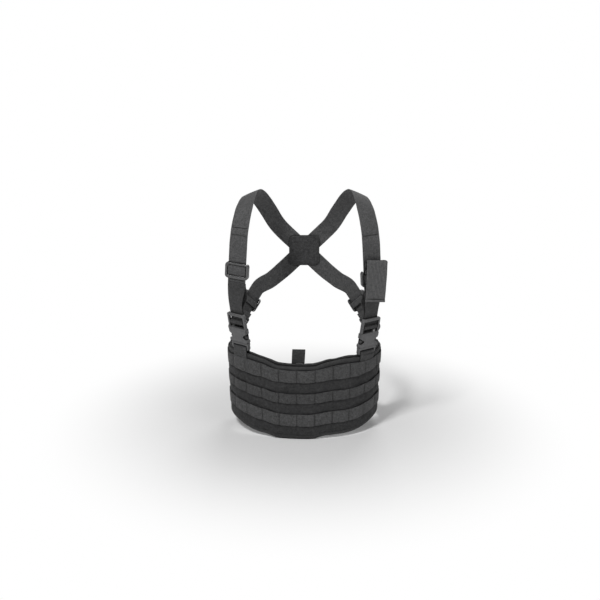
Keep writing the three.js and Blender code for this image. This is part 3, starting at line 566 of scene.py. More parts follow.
def cordura_mat(name, tone, p=1.05, rough=0.82, sheen=0.06):
    """Heavy plain-weave pack cloth."""
    T = Mat(name)
    u, v = T.uv()
    a, b = T.m("DIVIDE", u, p), T.m("DIVIDE", v, p)
    chk = T.m("MODULO", T.m("ADD", T.m("ADD", T.m("FLOOR", a), T.m("FLOOR", b)), 4000.0), 2.0)
    ha = T.m("SINE", T.m("MULTIPLY", T.m("FRACT", a), math.pi))
    hb = T.m("SINE", T.m("MULTIPLY", T.m("FRACT", b), math.pi))
    over = T.m("MULTIPLY", T.m("POWER", ha, 0.5), T.m("ADD", 0.65, T.m("MULTIPLY", hb, 0.35)))
    under = T.m("MULTIPLY", T.m("POWER", hb, 0.5), T.m("ADD", 0.65, T.m("MULTIPLY", ha, 0.35)))
    h = T.m("ADD", T.m("MULTIPLY", over, chk), T.m("MULTIPLY", under, T.m("SUBTRACT", 1.0, chk)))
    cb = T.node("ShaderNodeCombineXYZ")
    T.nt.links.new(T.m("FLOOR", a), cb.inputs[0])
    T.nt.links.new(T.m("FLOOR", b), cb.inputs[1])
    wn = T.node("ShaderNodeTexWhiteNoise", {"noise_dimensions": "2D"})
    T.nt.links.new(cb.outputs[0], wn.inputs["Vector"])
    big = T.noise(18, 4, 0.6)
    mid = T.noise(90, 3, 0.6)
    fine = T.noise(3000, 2, 0.6)
    # uneven yarns: whole picks a little thicker or paler than their neighbours
    pick = T.node("ShaderNodeTexWhiteNoise", {"noise_dimensions": "1D"})
    T.nt.links.new(T.m("FLOOR", b), pick.inputs["W"])
    k = T.m("ADD", 0.72, T.m("MULTIPLY", h, 0.4))
    k = T.m("MULTIPLY", k, T.m("ADD", 0.9, T.m("MULTIPLY", wn.outputs["Value"], 0.2)))
    k = T.m("MULTIPLY", k, T.m("ADD", 0.95, T.m("MULTIPLY", pick.outputs["Value"], 0.1)))
    k = T.m("MULTIPLY", k, T.m("ADD", 0.82, T.m("MULTIPLY", big, 0.36)))
    k = T.m("MULTIPLY", k, T.m("ADD", 0.9, T.m("MULTIPLY", mid, 0.2)))
    k = T.m("MULTIPLY", k, T.mottle(1.5, 1.3))
    col = T.shade(T.m("MULTIPLY", k, tone), (1.0, 1.0, 1.02))
    height = T.m("ADD", T.m("MULTIPLY", h, 0.8), T.m("MULTIPLY", fine, 0.2))
    r = T.m("ADD", rough - 0.05, T.m("MULTIPLY", mid, 0.12))
    return T.finish(col, r, height, 0.00026, sheen=sheen, spec=0.25, strength=0.8)


def rib_mat(name, tone, pu, pv, rough=0.8, sheen=0.08, depth=0.0003, contrast=0.3, along=0.75, mot=1.0):
    """Grosgrain and elastic: ribs across u, fine yarns across v."""
    T = Mat(name)
    u, v = T.uv()
    ru = T.m("POWER", T.m("SINE", T.m("MULTIPLY", T.m("FRACT", T.m("DIVIDE", u, pu)), math.pi)), 0.6)
    rv = T.m("SINE", T.m("MULTIPLY", T.m("FRACT", T.m("DIVIDE", v, pv)), math.pi))
    h = T.m("ADD", T.m("MULTIPLY", ru, along), T.m("MULTIPLY", rv, 1.0 - along))
    mid = T.noise(120, 3, 0.6)
    fine = T.noise(2600, 2, 0.6)
    k = T.m("ADD", 1.0 - contrast, T.m("MULTIPLY", h, contrast * 1.5))
    k = T.m("MULTIPLY", k, T.mottle(mot, mot * 0.7))
    k = T.m("MULTIPLY", k, T.m("ADD", 0.92, T.m("MULTIPLY", fine, 0.16)))
    col = T.shade(T.m("MULTIPLY", k, tone), (1.0, 1.0, 1.01))
    r = T.m("ADD", rough - 0.05, T.m("MULTIPLY", mid, 0.1))
    return T.finish(col, r, T.m("ADD", h, T.m("MULTIPLY", fine, 0.15)), depth, sheen=sheen, spec=0.28, strength=0.8)


def thread_mat(name, tone):
    T = Mat(name)
    u, v = T.uv()
    tw = T.m("SINE", T.m("ADD", T.m("MULTIPLY", u, 7.5), T.m("MULTIPLY", v, 6.0)))
    mid = T.noise(240, 2, 0.6)
    k = T.m("MULTIPLY", T.m("ADD", 0.9, T.m("MULTIPLY", tw, 0.12)), T.m("ADD", 0.85, T.m("MULTIPLY", mid, 0.3)))
    return T.finish(T.shade(T.m("MULTIPLY", k, tone)), 0.6, tw, 0.00008, sheen=0.1, spec=0.4, strength=0.7)


def plastic_mat(name, tone, rough=0.42, edge_rub_and_highlight=0.8, spec=0.5):
    """Moulded acetal: fine mould grain, edges lightened as rubbed wear and as painted highlight, faint scuffs."""
    T = Mat(name)
    obj = T.tc().outputs["Object"]
    grain = T.noise(4200, 2, 0.5)
    big = T.noise(34, 3, 0.6)
    stretch = T.node("ShaderNodeMapping", Scale=(1400.0, 190.0, 1400.0), Rotation=(0.3, 0.5, 0.8))
    T.nt.links.new(obj, stretch.inputs["Vector"])
    scuff = T.noise(1.0, 4, 0.7, vector=stretch.outputs[0])
    mark = T.m("MULTIPLY", T.m("SUBTRACT", scuff, 0.66, clamp=True), 3.0, clamp=True)
    geo = T.node("ShaderNodeNewGeometry")
    ed = T.m("MULTIPLY", T.m("SUBTRACT", geo.outputs["Pointiness"], 0.505, clamp=True), 9.0, clamp=True)
    k = T.m("MULTIPLY", T.m("ADD", 0.93, T.m("MULTIPLY", big, 0.14)), T.m("ADD", 0.97, T.m("MULTIPLY", grain, 0.06)))
    k = T.m("MULTIPLY", k, T.mottle(0.5, 0.5))
    # edges found by pointiness are lightened: partly rubbed wear, partly painted highlight
    k = T.m("ADD", k, T.m("MULTIPLY", ed, T.m("MULTIPLY", big, edge_rub_and_highlight)))
    k = T.m("ADD", k, T.m("MULTIPLY", mark, 0.14))
    r = T.m("ADD", T.m("ADD", rough - 0.05, T.m("MULTIPLY", big, 0.12)), T.m("MULTIPLY", mark, 0.2))
    return T.finish(T.shade(T.m("MULTIPLY", k, tone), (1.0, 1.0, 1.02)), r, grain, 0.00005, sheen=0.0, spec=spec, strength=0.35)


def mesh_mat(name, tone):
    """Spacer mesh of the body side: rows of small open cells."""
    T = Mat(name)
    u, v = T.uv()
    sv = T.m("DIVIDE", v, 1.9)
    row = T.m("FLOOR", sv)
    y = T.m("SUBTRACT", T.m("FRACT", sv), 0.5)
    x = T.m("SUBTRACT", T.m("FRACT", T.m("ADD", T.m("DIVIDE", u, 2.4), T.m("MULTIPLY", row, 0.5))), 0.5)
    d = T.m("SQRT", T.m("ADD", T.m("MULTIPLY", x, x), T.m("MULTIPLY", y, y)))
    hole = T.m("MULTIPLY", T.m("SUBTRACT", d, 0.2, clamp=True), 5.0, clamp=True)
    mid = T.noise(60, 3, 0.6)
    fine = T.noise(2400, 2, 0.6)
    k = T.m("MULTIPLY", T.m("ADD", 0.35, T.m("MULTIPLY", hole, 0.75)), T.m("ADD", 0.8, T.m("MULTIPLY", mid, 0.4)))
    h = T.m("ADD", hole, T.m("MULTIPLY", fine, 0.2))
    return T.finish(T.shade(T.m("MULTIPLY", k, tone)), 0.85, h, 0.0006, sheen=0.2, spec=0.2, strength=0.9)


def pile_mat(name, tone, scale, depth):
    T = Mat(name)
    a = T.noise(scale, 3, 0.7)
    b = T.noise(60, 3, 0.6)
    k = T.m("MULTIPLY", T.m("ADD", 0.6, T.m("MULTIPLY", a, 0.8)), T.m("ADD", 0.8, T.m("MULTIPLY", b, 0.4)))
    return T.finish(T.shade(T.m("MULTIPLY", k, tone)), 0.9, a, depth, sheen=0.3, spec=0.2)


M_SHOULDER = webbing_mat("shoulder_webbing", 0.078, WEB, mot=1.7)
M_LOWER = webbing_mat("lower_webbing", 0.042, WEB, mot=2.0)
M_BELT = webbing_mat("belt_webbing", 0.062, WEB, mot=1.8)
# the rows pass a negative edge value: their edges are darkened as painted shade where the rows stand off the face cloth
M_ROW = {"bottom": webbing_mat("row_webbing_bottom", 0.066, 27.5, edge_wear_and_shade=-0.12, mot=1.9), "middle": webbing_mat("row_webbing_middle", 0.053, 22.5, edge_wear_and_shade=-0.12, mot=1.9), "top": webbing_mat("row_webbing_top", 0.062, 27.5, edge_wear_and_shade=-0.12, mot=1.9)}
M_TAB = webbing_mat("tab_webbing", 0.031, TAB_W, contrast=0.9)
M_LOOPWEB = webbing_mat("buckle_tab_webbing", 0.056, WEB)
M_PATCH = cordura_mat("patch_cloth", 0.052, p=1.1)
M_FACE = cordura_mat("face_cloth", 0.034)
M_BIND = rib_mat("binding_tape", 0.042, 1.15, 0.9)
M_LINER = mesh_mat("liner_mesh", 0.034)
M_FOAM = pile_mat("foam_sheet", 0.03, 1500, 0.0003)
M_LOOP = pile_mat("loop_pile", 0.03, 2600, 0.0008)
M_HOOK = pile_mat("hook_tape", 0.026, 3800, 0.0010)
M_THREAD = thread_mat("sewing_thread", 0.085)
M_THREAD_DARK = thread_mat("sewing_thread_dark", 0.05)
M_ELASTIC = rib_mat("cover_elastic", 0.098, 0.8, 22 / 7.5, contrast=0.6, depth=0.0005, along=0.08)
M_HEM = rib_mat("cover_hem_tape", 0.12, 0.9, 1.1)
M_PLASTIC = plastic_mat("buckle_acetal", 0.108)
# sliders and rings: strong edge lightening as a painted highlight on their bars
M_SLIDER = plastic_mat("slider_acetal", 0.056, rough=0.24, edge_rub_and_highlight=1.5, spec=1.0)
# the latch arms take a darker tone than the buckle plastic: painted shade for the recesses they sit in
M_ARM_SHADED = plastic_mat("latch_acetal_shaded", 0.05)

# ------------------------------------------------------------------ the padded panel
S_STEP, H_STEP = 2.4, 2.6
SS = np.linspace(-PANEL_S + 0.6, PANEL_S - 0.6, int(2 * PANEL_S / S_STEP) + 1)
HH = np.linspace(0.6, PANEL_H - 0.6, int(PANEL_H / H_STEP) + 1)


def stitched(s, h):
    """1 on the lines where the rows are sewn through the panel, 0 away from them."""
    out = np.zeros(np.broadcast(s, h).shape)
    for c in COLUMNS:
        for _, h0, h1 in ROWS:
            d = np.hypot(s - c, np.maximum(0, np.maximum(h0 - h, h - h1)))
            out = np.maximum(out, np.exp(-(d / 3.2) ** 2))
    return out


def simulate_pad():
    """The pad as a closed shell held at its bound edge and along every sewn line, and blown up as cloth.
    Gives how far each point of the front and of the back moves out, in mm, on a regular grid."""
    ss = np.linspace(-PANEL_S + 1, PANEL_S - 1, 131)
    hh = np.linspace(1, PANEL_H - 1, 43)
    G, H = np.meshgrid(ss, hh, indexing="ij")
    front, back = panel(G, H, -0.4), panel(G, H, -5.6)
    V, F, _ = slab(front, back, G, H)
    me = bpy.data.meshes.new("pad_sim")
    me.from_pydata(((V + SHIFT) / 1000).tolist(), [], F)
    bm = bmesh.new()
    bm.from_mesh(me)
    bmesh.ops.recalc_face_normals(bm, faces=bm.faces)
    bm.to_mesh(me)
    bm.free()
    ob = bpy.data.objects.new("pad_sim", me)
    scene.collection.objects.link(ob)
    pin = np.zeros(G.shape)
    pin[(H < 7) | (H > PANEL_H - 8) | (np.abs(G) > PANEL_S - 8)] = 1
    for c in COLUMNS:
        for _, h0, h1 in ROWS:
            pin[(np.abs(G - c) < 2.1) & (H > h0 - 1) & (H < h1 + 1)] = 1
    vg = ob.vertex_groups.new(name="pin")
    idx = np.nonzero(np.concatenate([pin.ravel(), pin.ravel()]))[0]
    vg.add([int(i) for i in idx], 1.0, "REPLACE")
    mod = ob.modifiers.new("Cloth", "CLOTH")
    cs = mod.settings
    cs.quality = 6
    cs.mass = 0.3
    cs.tension_stiffness = 14
    cs.compression_stiffness = 6
    cs.shear_stiffness = 5
    cs.bending_stiffness = 0.35
    cs.use_pressure = True
    cs.uniform_pressure_force = 4.0
    cs.shrink_min = -0.022
    cs.effector_weights.gravity = 0.0
    cs.vertex_group_mass = "pin"
    mod.collision_settings.use_collision = False
    mod.collision_settings.use_self_collision = False
    scene.frame_start, scene.frame_end = 1, 24
    mod.point_cache.frame_start, mod.point_cache.frame_end = 1, 24
    for f in range(1, 21):
        scene.frame_set(f)
    ev = ob.evaluated_get(bpy.context.evaluated_depsgraph_get())
    co = np.zeros(len(V) * 3, np.float32)
    ev.data.vertices.foreach_get("co", co)
    co = co.reshape(-1, 3).astype(float) * 1000 - SHIFT
    scene.frame_set(1)
    bpy.data.objects.remove(ob)
    D = co - V
    k = G.size
    out = panel_out(G)
    df = (D[:k].reshape(G.shape + (3,)) * out).sum(-1)
    db = -(D[k:].reshape(G.shape + (3,)) * out).sum(-1)
    return ss, hh, df, db


def bilinear(ss, hh, Z, s, h):
    x = np.clip((s - ss[0]) / (ss[1] - ss[0]), 0, len(ss) - 1.001)
    y = np.clip((h - hh[0]) / (hh[1] - hh[0]), 0, len(hh) - 1.001)
    i, j = x.astype(int), y.astype(int)
    a, b = x - i, y - j
    return Z[i, j] * (1 - a) * (1 - b) + Z[i + 1, j] * a * (1 - b) + Z[i, j + 1] * (1 - a) * b + Z[i + 1, j + 1] * a * b


G, H = np.meshgrid(SS, HH, indexing="ij")
edge_in = smooth(np.minimum(np.minimum(H - 4, PANEL_H - 4 - H), PANEL_S - 6 - np.abs(G)) / 12)
pinch = stitched(G, H)
wave_big = 0.5 * ripple(G + 0.6 * H, 5) + 0.5 * ripple(H * 1.4 - 0.35 * G, 9)
SIM = simulate_pad()
puff_f = bilinear(SIM[0], SIM[1], SIM[2], G, H)
puff_b = bilinear(SIM[0], SIM[1], SIM[3], G, H)
under_row = np.zeros(G.shape)
for _, h0, h1 in ROWS:
    under_row = np.maximum(under_row, smooth((H - h0 + 2) / 4) * smooth((h1 + 2 - H) / 4))
puff_f = np.clip(puff_f, -0.4, 1.9 - 0.5 * under_row)
puff_b = np.clip(puff_b, -0.4, 1.3)
front_t = puff_f + 0.35 * wave_big * edge_in * (1 - 0.6 * under_row) - 0.45 * pinch
front_t = np.clip(front_t, -0.9, 2.0)
fine_pull = 0.18 * np.sin(G * 1.1 + 0.7 * np.sin(H * 0.2)) * np.exp(-((H - 88.75) / 200) ** 2)
FRONT = panel(G, H, front_t + fine_pull * np.exp(-(np.minimum(np.abs(H - 54), np.minimum(np.abs(H - 77.5), np.minimum(np.abs(H - 100), np.abs(H - 124.5)))) / 5) ** 2) * edge_in)
BACKF = panel(G, H, np.minimum(front_t - 1.0, -1.0))
V, F, UV = slab(FRONT, BACKF, G, H)
face = make("panel_face_cloth", V, F, UV, M_FACE)
done(face, "vest", ["panel_face"])
back_t = -6.0 - np.clip(puff_b, 0, 1.0) - 0.25 * wave_big * edge_in
V, F, UV = slab(panel(G, H, -4.9 + 0 * G), panel(G, H, back_t), G, H)
liner = make("panel_liner_mesh", V, F, UV, M_LINER)
done(liner, "vest", ["panel_liner"])


def inner_sheet(name, node, t0, t1, h0, h1, s1, mat, step=4.0, puff=0.0):
    s = np.linspace(-s1, s1, int(2 * s1 / step) + 1)
    h = np.linspace(h0, h1, max(4, int((h1 - h0) / step) + 1))
    g, hh = np.meshgrid(s, h, indexing="ij")
    e = np.minimum(np.minimum(hh - h0, h1 - hh), s1 - np.abs(g))
    crown = np.sqrt(np.clip(e / 3.0, 0, 1))
    mid, half = (t0 + t1) / 2, (t1 - t0) / 2
    out = half * (0.35 + 0.65 * crown) + puff * ripple(g + hh, 21)
    V, F, UV = slab(panel(g, hh, mid + out), panel(g, hh, mid - out), g, hh)
    ob = make(name, V, F, UV, mat)
    return done(ob, "vest", [node])


inner_sheet("foam_sheet_core", "panel_foam", -4.5, -1.5, 9, PANEL_H - 22, PANEL_S - 10, M_FOAM, puff=0.03)
inner_sheet("pocket_loop_pile", "pocket_loop_tape", -2.9, -1.5, PANEL_H - 18, PANEL_H - 2, 95, M_LOOP)
inner_sheet("pocket_hook_pile", "pocket_hook_tape", -4.5, -3.2, PANEL_H - 18, PANEL_H - 2, 95, M_HOOK)


# folded edge bindings
def binding(name, pts, s_or_h, place, replaces=(), th=0.85, mat=None):
    prof, v = tape_profile(pts, th)
    rings = np.stack([place(x, prof) for x in s_or_h])
    c = rings.mean(1)
    u = np.concatenate([[0], np.cumsum(np.linalg.norm(np.diff(c, axis=0), axis=1))])
    V, F, UV = loft(rings, u, v)
    ob = make(name, V, F, UV, mat or M_BIND, sharp=50)
    return done(ob, "vest", replaces)


SB = np.linspace(-PANEL_S + 0.3, PANEL_S - 0.3, 200)


def lip(s):
    """How far the pocket's rear lip stands above the front edge."""
    return 3.7 + 1.2 * ripple(np.asarray(s), 31, 1.3)


def sag(s, seed=33):
    return 0.4 * ripple(np.asarray(s), seed, 1.1)


end_in = lambda s: smooth((PANEL_S - abs(s)) / 30)
mid_s = lambda s: 1 - smooth((np.abs(s + 20) - 34) / 40)
top_front = binding("edge_binding_top_front", [(0.95, PANEL_H - 6.6), (0.98, PANEL_H - 4), (0.9, PANEL_H - 1.0), (0.3, PANEL_H + 0.5), (-1.0, PANEL_H + 1.0), (-2.3, PANEL_H + 0.5), (-2.95, PANEL_H - 1.0), (-3.0, PANEL_H - 6.6)],
                    SB, lambda s, q: panel(s, q[:, 1] + (sag(s) - 2.3 * mid_s(s)) * end_in(s), q[:, 0] + 0.35 * ripple(s, 35)), ["edge_binding_top"])
top_rear = binding("edge_binding_top_rear", [(-3.85, PANEL_H - 9), (-3.8, PANEL_H - 3), (-4.0, PANEL_H + 0.4), (-4.7, PANEL_H + 1.3), (-5.6, PANEL_H + 1.3), (-6.5, PANEL_H + 0.4), (-6.9, PANEL_H - 3), (-6.9, PANEL_H - 9)],
                   SB, lambda s, q: panel(s, q[:, 1] + ((lip(s) - 1.2 * mid_s(s)) * end_in(s)) * smooth((q[:, 1] - PANEL_H + 9) / 9), q[:, 0] - 0.3 * ripple(s, 37)))
bottom_bind = binding("edge_binding_bottom_fold", [(0.95, 6.6), (0.98, 4), (0.9, 1.2), (0.2, -0.4), (-1.6, -0.75), (-4.6, -0.75), (-6.2, -0.4), (-6.85, 1.2), (-6.9, 4), (-6.85, 6.6)],
                      SB, lambda s, q: panel(s, q[:, 1] + sag(s, 39) * 0.5, q[:, 0] + 0.2 * ripple(s, 41)), ["edge_binding_bottom"])
ends = {}
for side, sg in (("l", 1), ("r", -1)):
    hs = np.linspace(-0.9, PANEL_H + 1.0, 60)
    ends[side] = binding("edge_binding_end_fold_" + side, [(2.2, -6.8), (2.2, -4), (1.9, -1.0), (0.9, 0.5), (-1.2, 0.95), (-5.2, 0.95), (-6.6, 0.5), (-7.2, -1.2), (-7.2, -4), (-7.1, -6.8)],
                         hs, lambda h, q, sg=sg: panel(sg * (PANEL_S + q[:, 1]), h, q[:, 0]), ["edge_binding_end_" + side], th=0.9)


# rows of webbing, sewn down at every column and standing off between them
def row_t(s, a, half):
    s = np.asarray(s, float)
    between = np.abs(np.sin(math.pi * (s - CENTRE_S) / COLUMN))
    idx = np.round((s - CENTRE_S) / COLUMN - 0.5)
    vary = 1 + 0.18 * np.sin(idx * 2.3 + half)
    t = 1.05 + 1.95 * vary * between ** 0.75
    t = t + 1.35 * smooth((24 - np.minimum(np.abs(s - TAB_S[1]), np.abs(s + TAB_S[-1]))) / 8) * (1 - between ** 0.75) * (1 if half > 13 else 0)
    t = t - 0.9 * smooth((np.abs(s) - (PANEL_S - 12)) / 8)
    return t + 0.45 * between * (1 - (a / half) ** 2)


rows = {}
for k, (nm, h0, h1) in enumerate(ROWS):
    w, hc = h1 - h0, (h0 + h1) / 2
    a, o = web_profile(w, 1.45, 12)
    stops = np.unique(np.round(np.concatenate([np.arange(-PANEL_S + 3, PANEL_S - 2.9, 2.2), COLUMNS, [PANEL_S - 3]]), 3))
    rings = []
    half = w / 2 if nm != "top" else 13.9
    for s in stops:
        between = abs(math.sin(math.pi * (s - CENTRE_S) / COLUMN))
        pull = (1 - between) ** 4
        aa = a * (1 - 0.035 * pull) + 0.45 * ripple(s, 50 + k) * 1.0 - 0.25 * between * np.sign(a) * 0
        tt = row_t(s, a, half if nm == "top" else w / 2) + o * (1 - 0.12 * pull)
        rings.append(panel(s, hc + aa, tt))
    V, F, UV = loft(np.stack(rings), stops + 400.0, a + w / 2)
    ob = make("row_webbing_" + nm, V, F, UV, M_ROW[nm])
    rows[nm] = done(ob, "vest", ["webbing_row_" + nm])
    tree = bvh_of(ob)
    for c in COLUMNS:
        hh = np.arange(h0 + 1.6, h1 - 1.3, 0.85)
        ss = c + 0.75 * np.where(np.arange(len(hh)) % 2, 1.0, -1.0)
        zigzag("stitching_rows", tree, panel(ss, hh, 3.0), panel_out(ss), r=0.24)

# binding stitches, front and body side
for ob, h, sgn, t in ((top_front, PANEL_H - 4.9, 1, 1.0), (bottom_bind, 4.9, 1, 1.0), (top_rear, PANEL_H - 5.2, -1, -6.9), (bottom_bind, 4.9, -1, -6.9)):
    s = np.linspace(-PANEL_S + 9, PANEL_S - 9, 300)
    dh = -2.0 * mid_s(s) if ob is top_front else 0 * s
    running("stitching_bindings", bvh_of(ob), panel(s, h + dh, t), panel_out(s) * sgn, pitch=3.4, r=0.26)
for side, sg in (("l", 1), ("r", -1)):
    h = np.linspace(4, PANEL_H - 4, 60)
    for sgn, t in ((1, 2.2), (-1, -7.2)):
        s = np.full(60, sg * (PANEL_S - 5.0))
        running("stitching_bindings", bvh_of(ends[side]), panel(s, h, t), panel_out(s) * sgn, pitch=3.4, r=0.26)


# ------------------------------------------------------------------ harness frames
def side_frames(sg):
    p = panel_facet(sg * TAB_S[sg], PANEL_H, PLANE_T)
    T = unit([sg * 0.125, -0.09, 1])
    n = panel_out(sg * TAB_S[sg])
    n = unit(n - T * n.dot(T))
    bar = vec(p[0], p[1], BAR_Z[sg])
    return dict(T=T, n=n, w=np.cross(T, n), mouth=bar + T * MOUTH_UP)


def n_az(sg, az, up=0.0):
    a, e = math.radians(az), math.radians(up)
    return vec(sg * math.sin(a) * math.cos(e), -math.cos(a) * math.cos(e), math.sin(e))


def local(M):
    """(x, y, z) of a moulded part's own frame to the design frame."""
    p, X, Y, Z = M
    return lambda x, y, z: p + X * x + Y * y + Z * z


def flat_run(M, pts, width, x0=0.0):
    """Frames of webbing that runs through (y, z) points of a moulded part's frame, across x."""
    p, X, Y, Z = M
    q = [p + X * x0 + Y * y + Z * z for y, z in pts]
    return run_frames(q, X)


def box_stitch(group, tree, corner, ex, ey, n, cross=True, pitch=3.0):
    """A box of stitches with a cross in it: corner + ex, ey are its sides."""
    c = [corner, corner + ex, corner + ex + ey, corner + ey]
    segs = [(c[0], c[1]), (c[1], c[2]), (c[2], c[3]), (c[3], c[0])]
    if cross:
        segs += [(c[0], c[2]), (c[1], c[3])]
    for a, b in segs:
        k = np.linspace(0, 1, 24)[:, None]
        running(group, tree, a + (b - a) * k, np.broadcast_to(n, (24, 3)), pitch=pitch)


def tack(group, tree, centre, across, along, n, length, r=0.26):
    """A bar tack across webbing: a dense zigzag."""
    k = int(length / 0.8)
    x = np.linspace(-length / 2, length / 2, k)
    z = 0.8 * np.where(np.arange(k) % 2, 1.0, -1.0)
    zigzag(group, tree, centre + across * x[:, None] + along * z[:, None], np.broadcast_to(n, (k, 3)), r)


HARNESS = {}
for side, sg in (("l", 1), ("r", -1)):
    f = side_frames(sg)
    M = (f["mouth"], f["w"], f["T"], f["n"])
    L = lambda y, z, f=f: f["mouth"] + f["T"] * y + f["n"] * z
    s0 = vec(139.2, -82.6, 316) if sg > 0 else vec(-138.4, -84, 331)
    s1 = vec(sg * 133.4, -91, 405)
    sd = unit(s1 - s0)
    sn = n_az(sg, 17, 5)
    sn = unit(sn - sd * sn.dot(sd))
    mid = s0 + sd * 24
    MS = (mid, np.cross(sd, sn), sd, sn)
    by = BACK_Y + (2.2 if sg > 0 else 0)
    cd = unit([-sg * 0.72, 0, -0.69])
    c0, c1 = vec(0, by, CROSS_Z) - cd * 52, vec(0, by, CROSS_Z) + cd * 52
    wing = -sg
    ws = "l" if wing > 0 else "r"
    q0, q1 = panel_facet(wing * 318, 252, -3), panel_facet(wing * 276, 206, -3)
    rd = unit(q1 - q0)
    rn = panel_out(wing * 297)
    rn = unit(rn - rd * rn.dot(rd))
    ring_at = q1 + rn * 2
    R = lambda y, z, ring_at=ring_at, rd=rd, rn=rn: ring_at + rd * y + rn * z
    r0, r1 = R(-74, 3.1), R(-5.4, 3.1)
    knots = [
        dict(p=s0, n=sn, m=sd, per=2), dict(p=s1, n=sn, m=sd),
        dict(p=vec(sg * 129.6, -88.5, 441), n=n_az(sg, 20, 24)), dict(p=vec(sg * 123.4, -72, 473), n=n_az(sg, 26, 46)),
        dict(p=vec(sg * 117.6, -47, 492), n=vec(sg * 0.4, -0.45, 0.82)), dict(p=vec(sg * 112.5, -14, 500), n=vec(sg * 0.4, -0.02, 0.9)),
        dict(p=vec(sg * 105, 22, 495.5), n=vec(sg * 0.38, 0.35, 0.88)), dict(p=vec(sg * 93.5, 56, 478), n=vec(sg * 0.32, 0.66, 0.7)),
        dict(p=vec(sg * 77, 88, 446), n=vec(sg * 0.2, 0.9, 0.42)), dict(p=vec(sg * 60, 108, 414), n=vec(sg * 0.08, 0.98, 0.16)),
        dict(p=c0, n=vec(0, 1, 0), m=cd, per=2), dict(p=c1, n=vec(0, 1, 0), m=cd),
        dict(p=vec(-sg * 74, 109, 287), n=vec(-sg * 0.34, 0.94, -0.02)),
        dict(p=r0, n=rn, m=rd, per=2), dict(p=r1, n=rn, m=rd),
    ]
    path = strap_path(knots, 5, 4.0)
    end = path[-1]
    tp = [R(y, z) for y, z in [(-4.4, 3.1), (-2.75, 1.7), (-2.65, 0), (-2.75, -1.7), (-4.4, -3.1), (-9, -3.2), (-19, -3.2)]]
    al = [end[0]] + tp
    turn = []
    for i, q in enumerate(tp):
        a_, b_ = al[i], al[i + 2] if i + 2 < len(al) else al[i + 1]
        T = unit(b_ - a_)
        turn.append((q, end[1], unit(np.cross(end[1], T)), T))
    seed = 60 + (0 if sg > 0 else 7)
    strap, (sp, sw, sN, su) = webbing("shoulder_webbing_" + side, path + turn, WEB, WEB_T, M_SHOULDER, step=3.0,
                                      cup=lambda u: 0.15 + 0.75 * np.exp(-((u - 215) / 70) ** 2), wave=0.22, seed=seed)
    done(strap, "vest", ["shoulder_strap_" + side])
    stree = bvh_of(strap)

    # bars of stitching across the front of the strap, where its keeper is sewn, and the turned end at the ring
    for z in ((428, 446, 463) if sg < 0 else (452, 470)):
        i = int(np.argmin(np.abs(sp[:60, 2] - z) + 0.0 * sp[:60, 1]))
        T = unit(sp[i + 1] - sp[i - 1])
        tack("stitching_harness", stree, sp[i], sw[i], T, sN[i], 33)
    x, y = sw[0], sd
    box_stitch("stitching_harness", stree, R(-70, 3.1) - end[1] * 15 + rd * 44, end[1] * 30, rd * 12, rn, cross=True)

    # front slider's webbing: the loop round its middle bar, and the strap's crown over it
    body_s = "slider_front_left" if sg > 0 else "slider_front_right"

    def slider_web(name, M_, tail, body, node, tone_mat):
        loop_pts = [(tail, -6.2), (-4.4, -6.2), (0, -6.1), (3, -5.9), (4.3, -4.6), (4.45, -3.1), (3.9, -2)]
        ob, _ = webbing(name, flat_run(M_, loop_pts, WEB - 1), WEB - 1, 1.2, tone_mat, step=1.2, wave=0.0)
        done(ob, body, [node])
        crown = [(-13.2, 1.25), (-9.5, 1.8), (-4.5, 2.75), (0, 3.1), (4.5, 2.85), (9.5, 2.0), (13.6, 1.3)]
        ob2, _ = webbing(name + "_crown", flat_run(M_, crown, WEB - 1), WEB - 0.6, 0.9, tone_mat, step=1.2, wave=0.0, cup=0.15)
        done(ob2, body)
        return ob, ob2

    slider_web("slider_loop_webbing_" + side, MS, -13.5, body_s, "slider_loop_" + side, M_SHOULDER)

    # lower strap: down from the slider, over the ladder bar, and up behind itself
    top_f, top_r = s0 - sd * 0.4, s0 - sd * 0.4 - sn * 2.6
    fp = strap_path([dict(p=top_f, n=sn, m=-sd), dict(p=L(LADDER_TOP + 14, -1.9), n=f["n"], m=-f["T"], per=1), dict(p=L(LADDER_TOP - 6, -1.7), n=f["n"], m=-f["T"], per=1)], 6, 5.0)
    bend = [L(y, z) for y, z in [(53, -2.1), (49.5, -2.4), (47.4, -1.6), (46.4, 0), (46.0, 1.6), (44.9, 2.6), (42.5, 2.95), (40.1, 2.6), (38.9, 1.6), (38.4, 0), (38.8, -1.7), (40.1, -2.8), (44, -3.9), (49, -4.5), (56, -4.7)]]
    bow = L(LADDER_TOP + 12, -4.9) * 0.54 + top_r * 0.46 - f["n"] * 5.2 - sn * 4.2
    rp = strap_path([dict(p=L(LADDER_TOP + 3, -4.5), n=-f["n"], m=f["T"], per=1), dict(p=L(LADDER_TOP + 12, -4.9), n=-f["n"], m=f["T"] - f["n"] * 0.12),
                     dict(p=bow, n=-(f["n"] + sn)), dict(p=top_r - sd * 2, n=-sn, m=sd)], 5, 5.0)
    w0 = fp[-1][1]
    al = [fp[-1][0]] + bend + [rp[0][0]]
    bf = []
    for i, q in enumerate(bend):
        T = unit(al[i + 2] - al[i])
        bf.append((q, w0, unit(np.cross(w0, T)), T))
    low, (lp, lw, lN, lu) = webbing("lower_webbing_" + side, fp + bf + rp, WEB, WEB_T, M_LOWER, step=2.6, wave=0.18, seed=seed + 2,
                                    cup=lambda u: 0.35 * np.exp(-((u - 22) / 14) ** 2))
    ltree = bvh_of(low)
    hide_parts("lower_strap_" + side)
    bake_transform(low)

